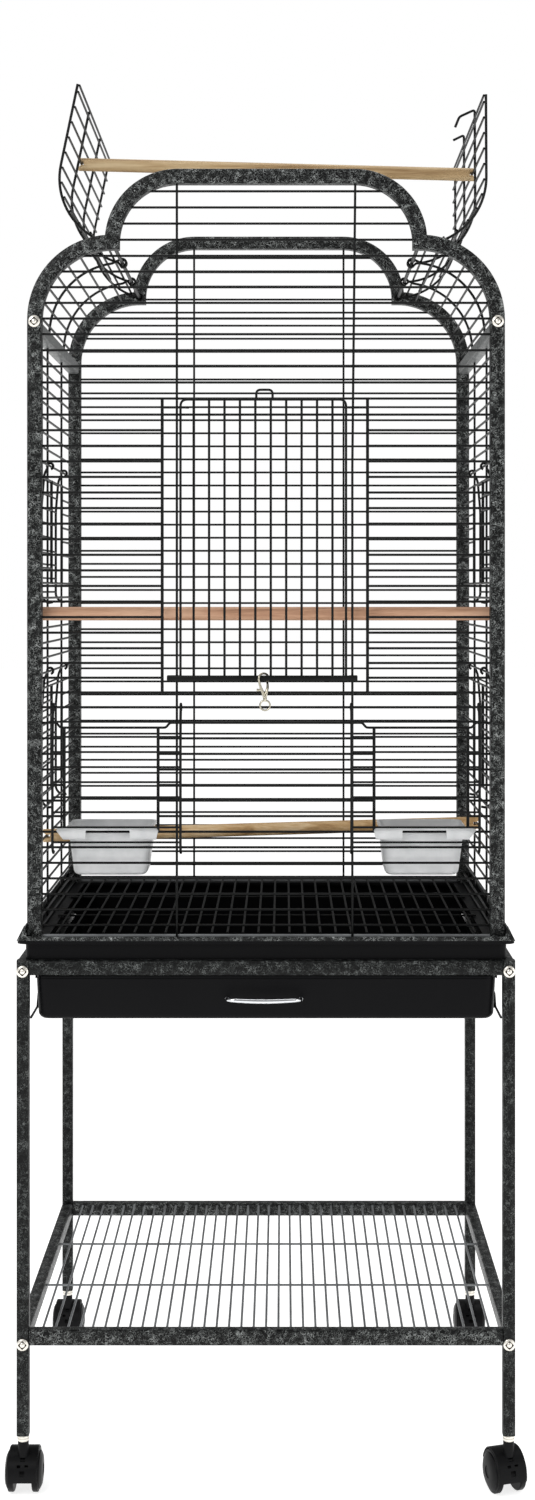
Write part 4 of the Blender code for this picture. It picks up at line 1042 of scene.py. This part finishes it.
for end, sy in (("front", -1), ("rear", 1)):
    for hand, sx in hands:
        name, node = end + hand.title(), f"{end}_{hand}"
        pivot = shift((sx * legX, sy * legY, 0)) @ spun(caster["turn"].get(name, 0.0), "Z")
        smoothPiece(name + "Hood", hoodMesh(pivot), nylonBlack, node + "_caster",
                    [node + "_caster_hood"], 40)
        ring = turned(caster["ring"], 32, pivot)
        smoothPiece(name + "Ring", ring, zincPlate, "cage", [], 40)
        hub = pivot @ shift((0, caster["trail"], caster["axle"]))
        for wheel, flip in (("r", 1), ("l", -1)):
            mesh = wheelMesh(hub @ Matrix.Scale(flip, 4, (1, 0, 0)))
            smoothPiece(f"{name}Wheel{wheel.upper()}", mesh, nylonBlack, f"{node}_wheel_{wheel}",
                        [f"{node}_caster_wheel_{wheel}"], 35)
print("casters made")


# bolts

bolt = inMm({"radius": 6.1, "height": 2.6, "tip": 4.7, "boss": 2.6, "floor": 0.9, "paint": 0.4,
             "archZ": 1198.8, "standZ": (535.2, 155.5)})
corners = [(sx, sy) for sx in (-1, 1) for sy in (-1, 1)]
boltSpots = {
    "arch": [(sx * postX, sy * (faceY + tube / 2), bolt["archZ"]) for sx, sy in corners],
    "stand": [(sx * legX, sy * (legY + legSize / 2), z) for sx, sy in corners for z in bolt["standZ"]],
}


def diamond(tip, low, high):
    # a square prism standing on its corner
    bm = flatShape([(tip, 0, low), (0, tip, low), (-tip, 0, low), (0, -tip, low)], (0, 0, high - low))
    edges = [e for e in bm.edges if abs((e.verts[0].co - e.verts[1].co).z) > 0.1 * mm]
    easeEdges(bm, edges, 0.8 * mm, 3)
    return toMesh(bm)


def boltMeshes(spot):
    # a domed head with a diamond recess round a boss, facing away from the cage, and a dark sheet in the
    # recess as painted shade
    radius, height, floor, boss, tip = [bolt[key] for key in ("radius", "height", "floor", "boss", "tip")]
    dome = [(radius * across, height * (0.45 + 0.55 * up)) for across, up in arc((0, 0), 1, 0, 75, 5)]
    profile = [(0, -0.5 * mm), (radius, -0.5 * mm)] + dome + [(0, height)]
    head = cutMesh(turned(profile, 32), [diamond(tip, floor, height + 1 * mm)])
    foot = floor - 0.3 * mm
    pin = [(0, foot), (boss, foot), (boss, height - 0.7 * mm), (boss - 0.6 * mm, height - 0.2 * mm),
           (0, height)]
    head = joinMeshes([head, turned(pin, 24)])
    # the dark sheet on the recess floor is painted shade
    paint = diamond(tip - 0.05 * mm, floor - 0.1 * mm, floor + bolt["paint"])
    facing = shift(spot) @ spun(90 if spot[1] < 0 else -90, "X")
    return placed(head, facing), placed(paint, facing)


for group, spots in boltSpots.items():
    heads, shadeSheets = zip(*[boltMeshes(s) for s in spots])
    smoothPiece(group + "Bolts", joinMeshes(heads), zincPlate, "cage", [], 40)
    smoothPiece(group + "BoltPaint", joinMeshes(shadeSheets), recessShadeCoat, "cage", [], 40)
print("bolts made")


# floor, light and camera

def stageFloor():
    bm = bmesh.new()
    bmesh.ops.create_grid(bm, x_segments=3, y_segments=3, size=20)
    floor = linkObject("floor", plainMesh(bm))
    material = startMaterial("paleSweep", {"Base Color": srgb("#f2f2f1"), "Roughness": 0.9,
                                           "Emission Color": srgb("#ffffff"), "Emission Strength": 0.75})[0]
    floor.data.materials.append(material)


def softLight(name, spot, target, size, power):
    data = bpy.data.lights.new(name, "AREA")
    data.shape = "RECTANGLE"
    data.size, data.size_y = size
    data.energy = power
    light = linkObject(name, data)
    light.location = spot
    light.rotation_euler = (Vector(target) - Vector(spot)).to_track_quat("-Z", "Y").to_euler()


stageFloor()
world = bpy.data.worlds.new("studio")
scene.world = world
world.use_nodes = True
backdrop = world.node_tree.nodes["Background"]
backdrop.inputs["Color"].default_value = srgb("#ffffff")
ray = addNode(world.node_tree, "LightPath", {}, {})
dimmed = addNode(world.node_tree, "MapRange", {"To Min": 0.34}, {"Value": ray})
feed(world.node_tree, backdrop, {"Strength": dimmed})
softLight("key", (-1.6, -2.6, 2.6), (0, 0, 0.8), (1.6, 1.6), 45)
softLight("fill", (2.4, -2.0, 1.2), (0, 0, 0.7), (1.4, 2.2), 18)
softLight("top", (0.2, 0.4, 3.2), (0, 0, 0.8), (2.0, 2.0), 30)

# focal length, vanishing point and centre in photo pixels, the sensor in mm
camera = {"place": (0.0174, -2.144, 0.9235), "focal": 1903, "imageHeight": 1500, "vanish": (283, 590),
          "centre": (267.5, 750), "sensor": 36}
data = bpy.data.cameras.new("camera")
data.sensor_fit = "VERTICAL"
data.sensor_height = camera["sensor"]
data.lens = camera["focal"] / camera["imageHeight"] * camera["sensor"]
data.shift_x = (camera["centre"][0] - camera["vanish"][0]) / camera["imageHeight"]
data.shift_y = (camera["vanish"][1] - camera["centre"][1]) / camera["imageHeight"]
viewer = linkObject("camera", data)
viewer.location = camera["place"]
viewer.rotation_euler = (math.radians(90), 0, 0)
scene.camera = viewer
scene.view_settings.view_transform = "Standard"
print("scene ready")
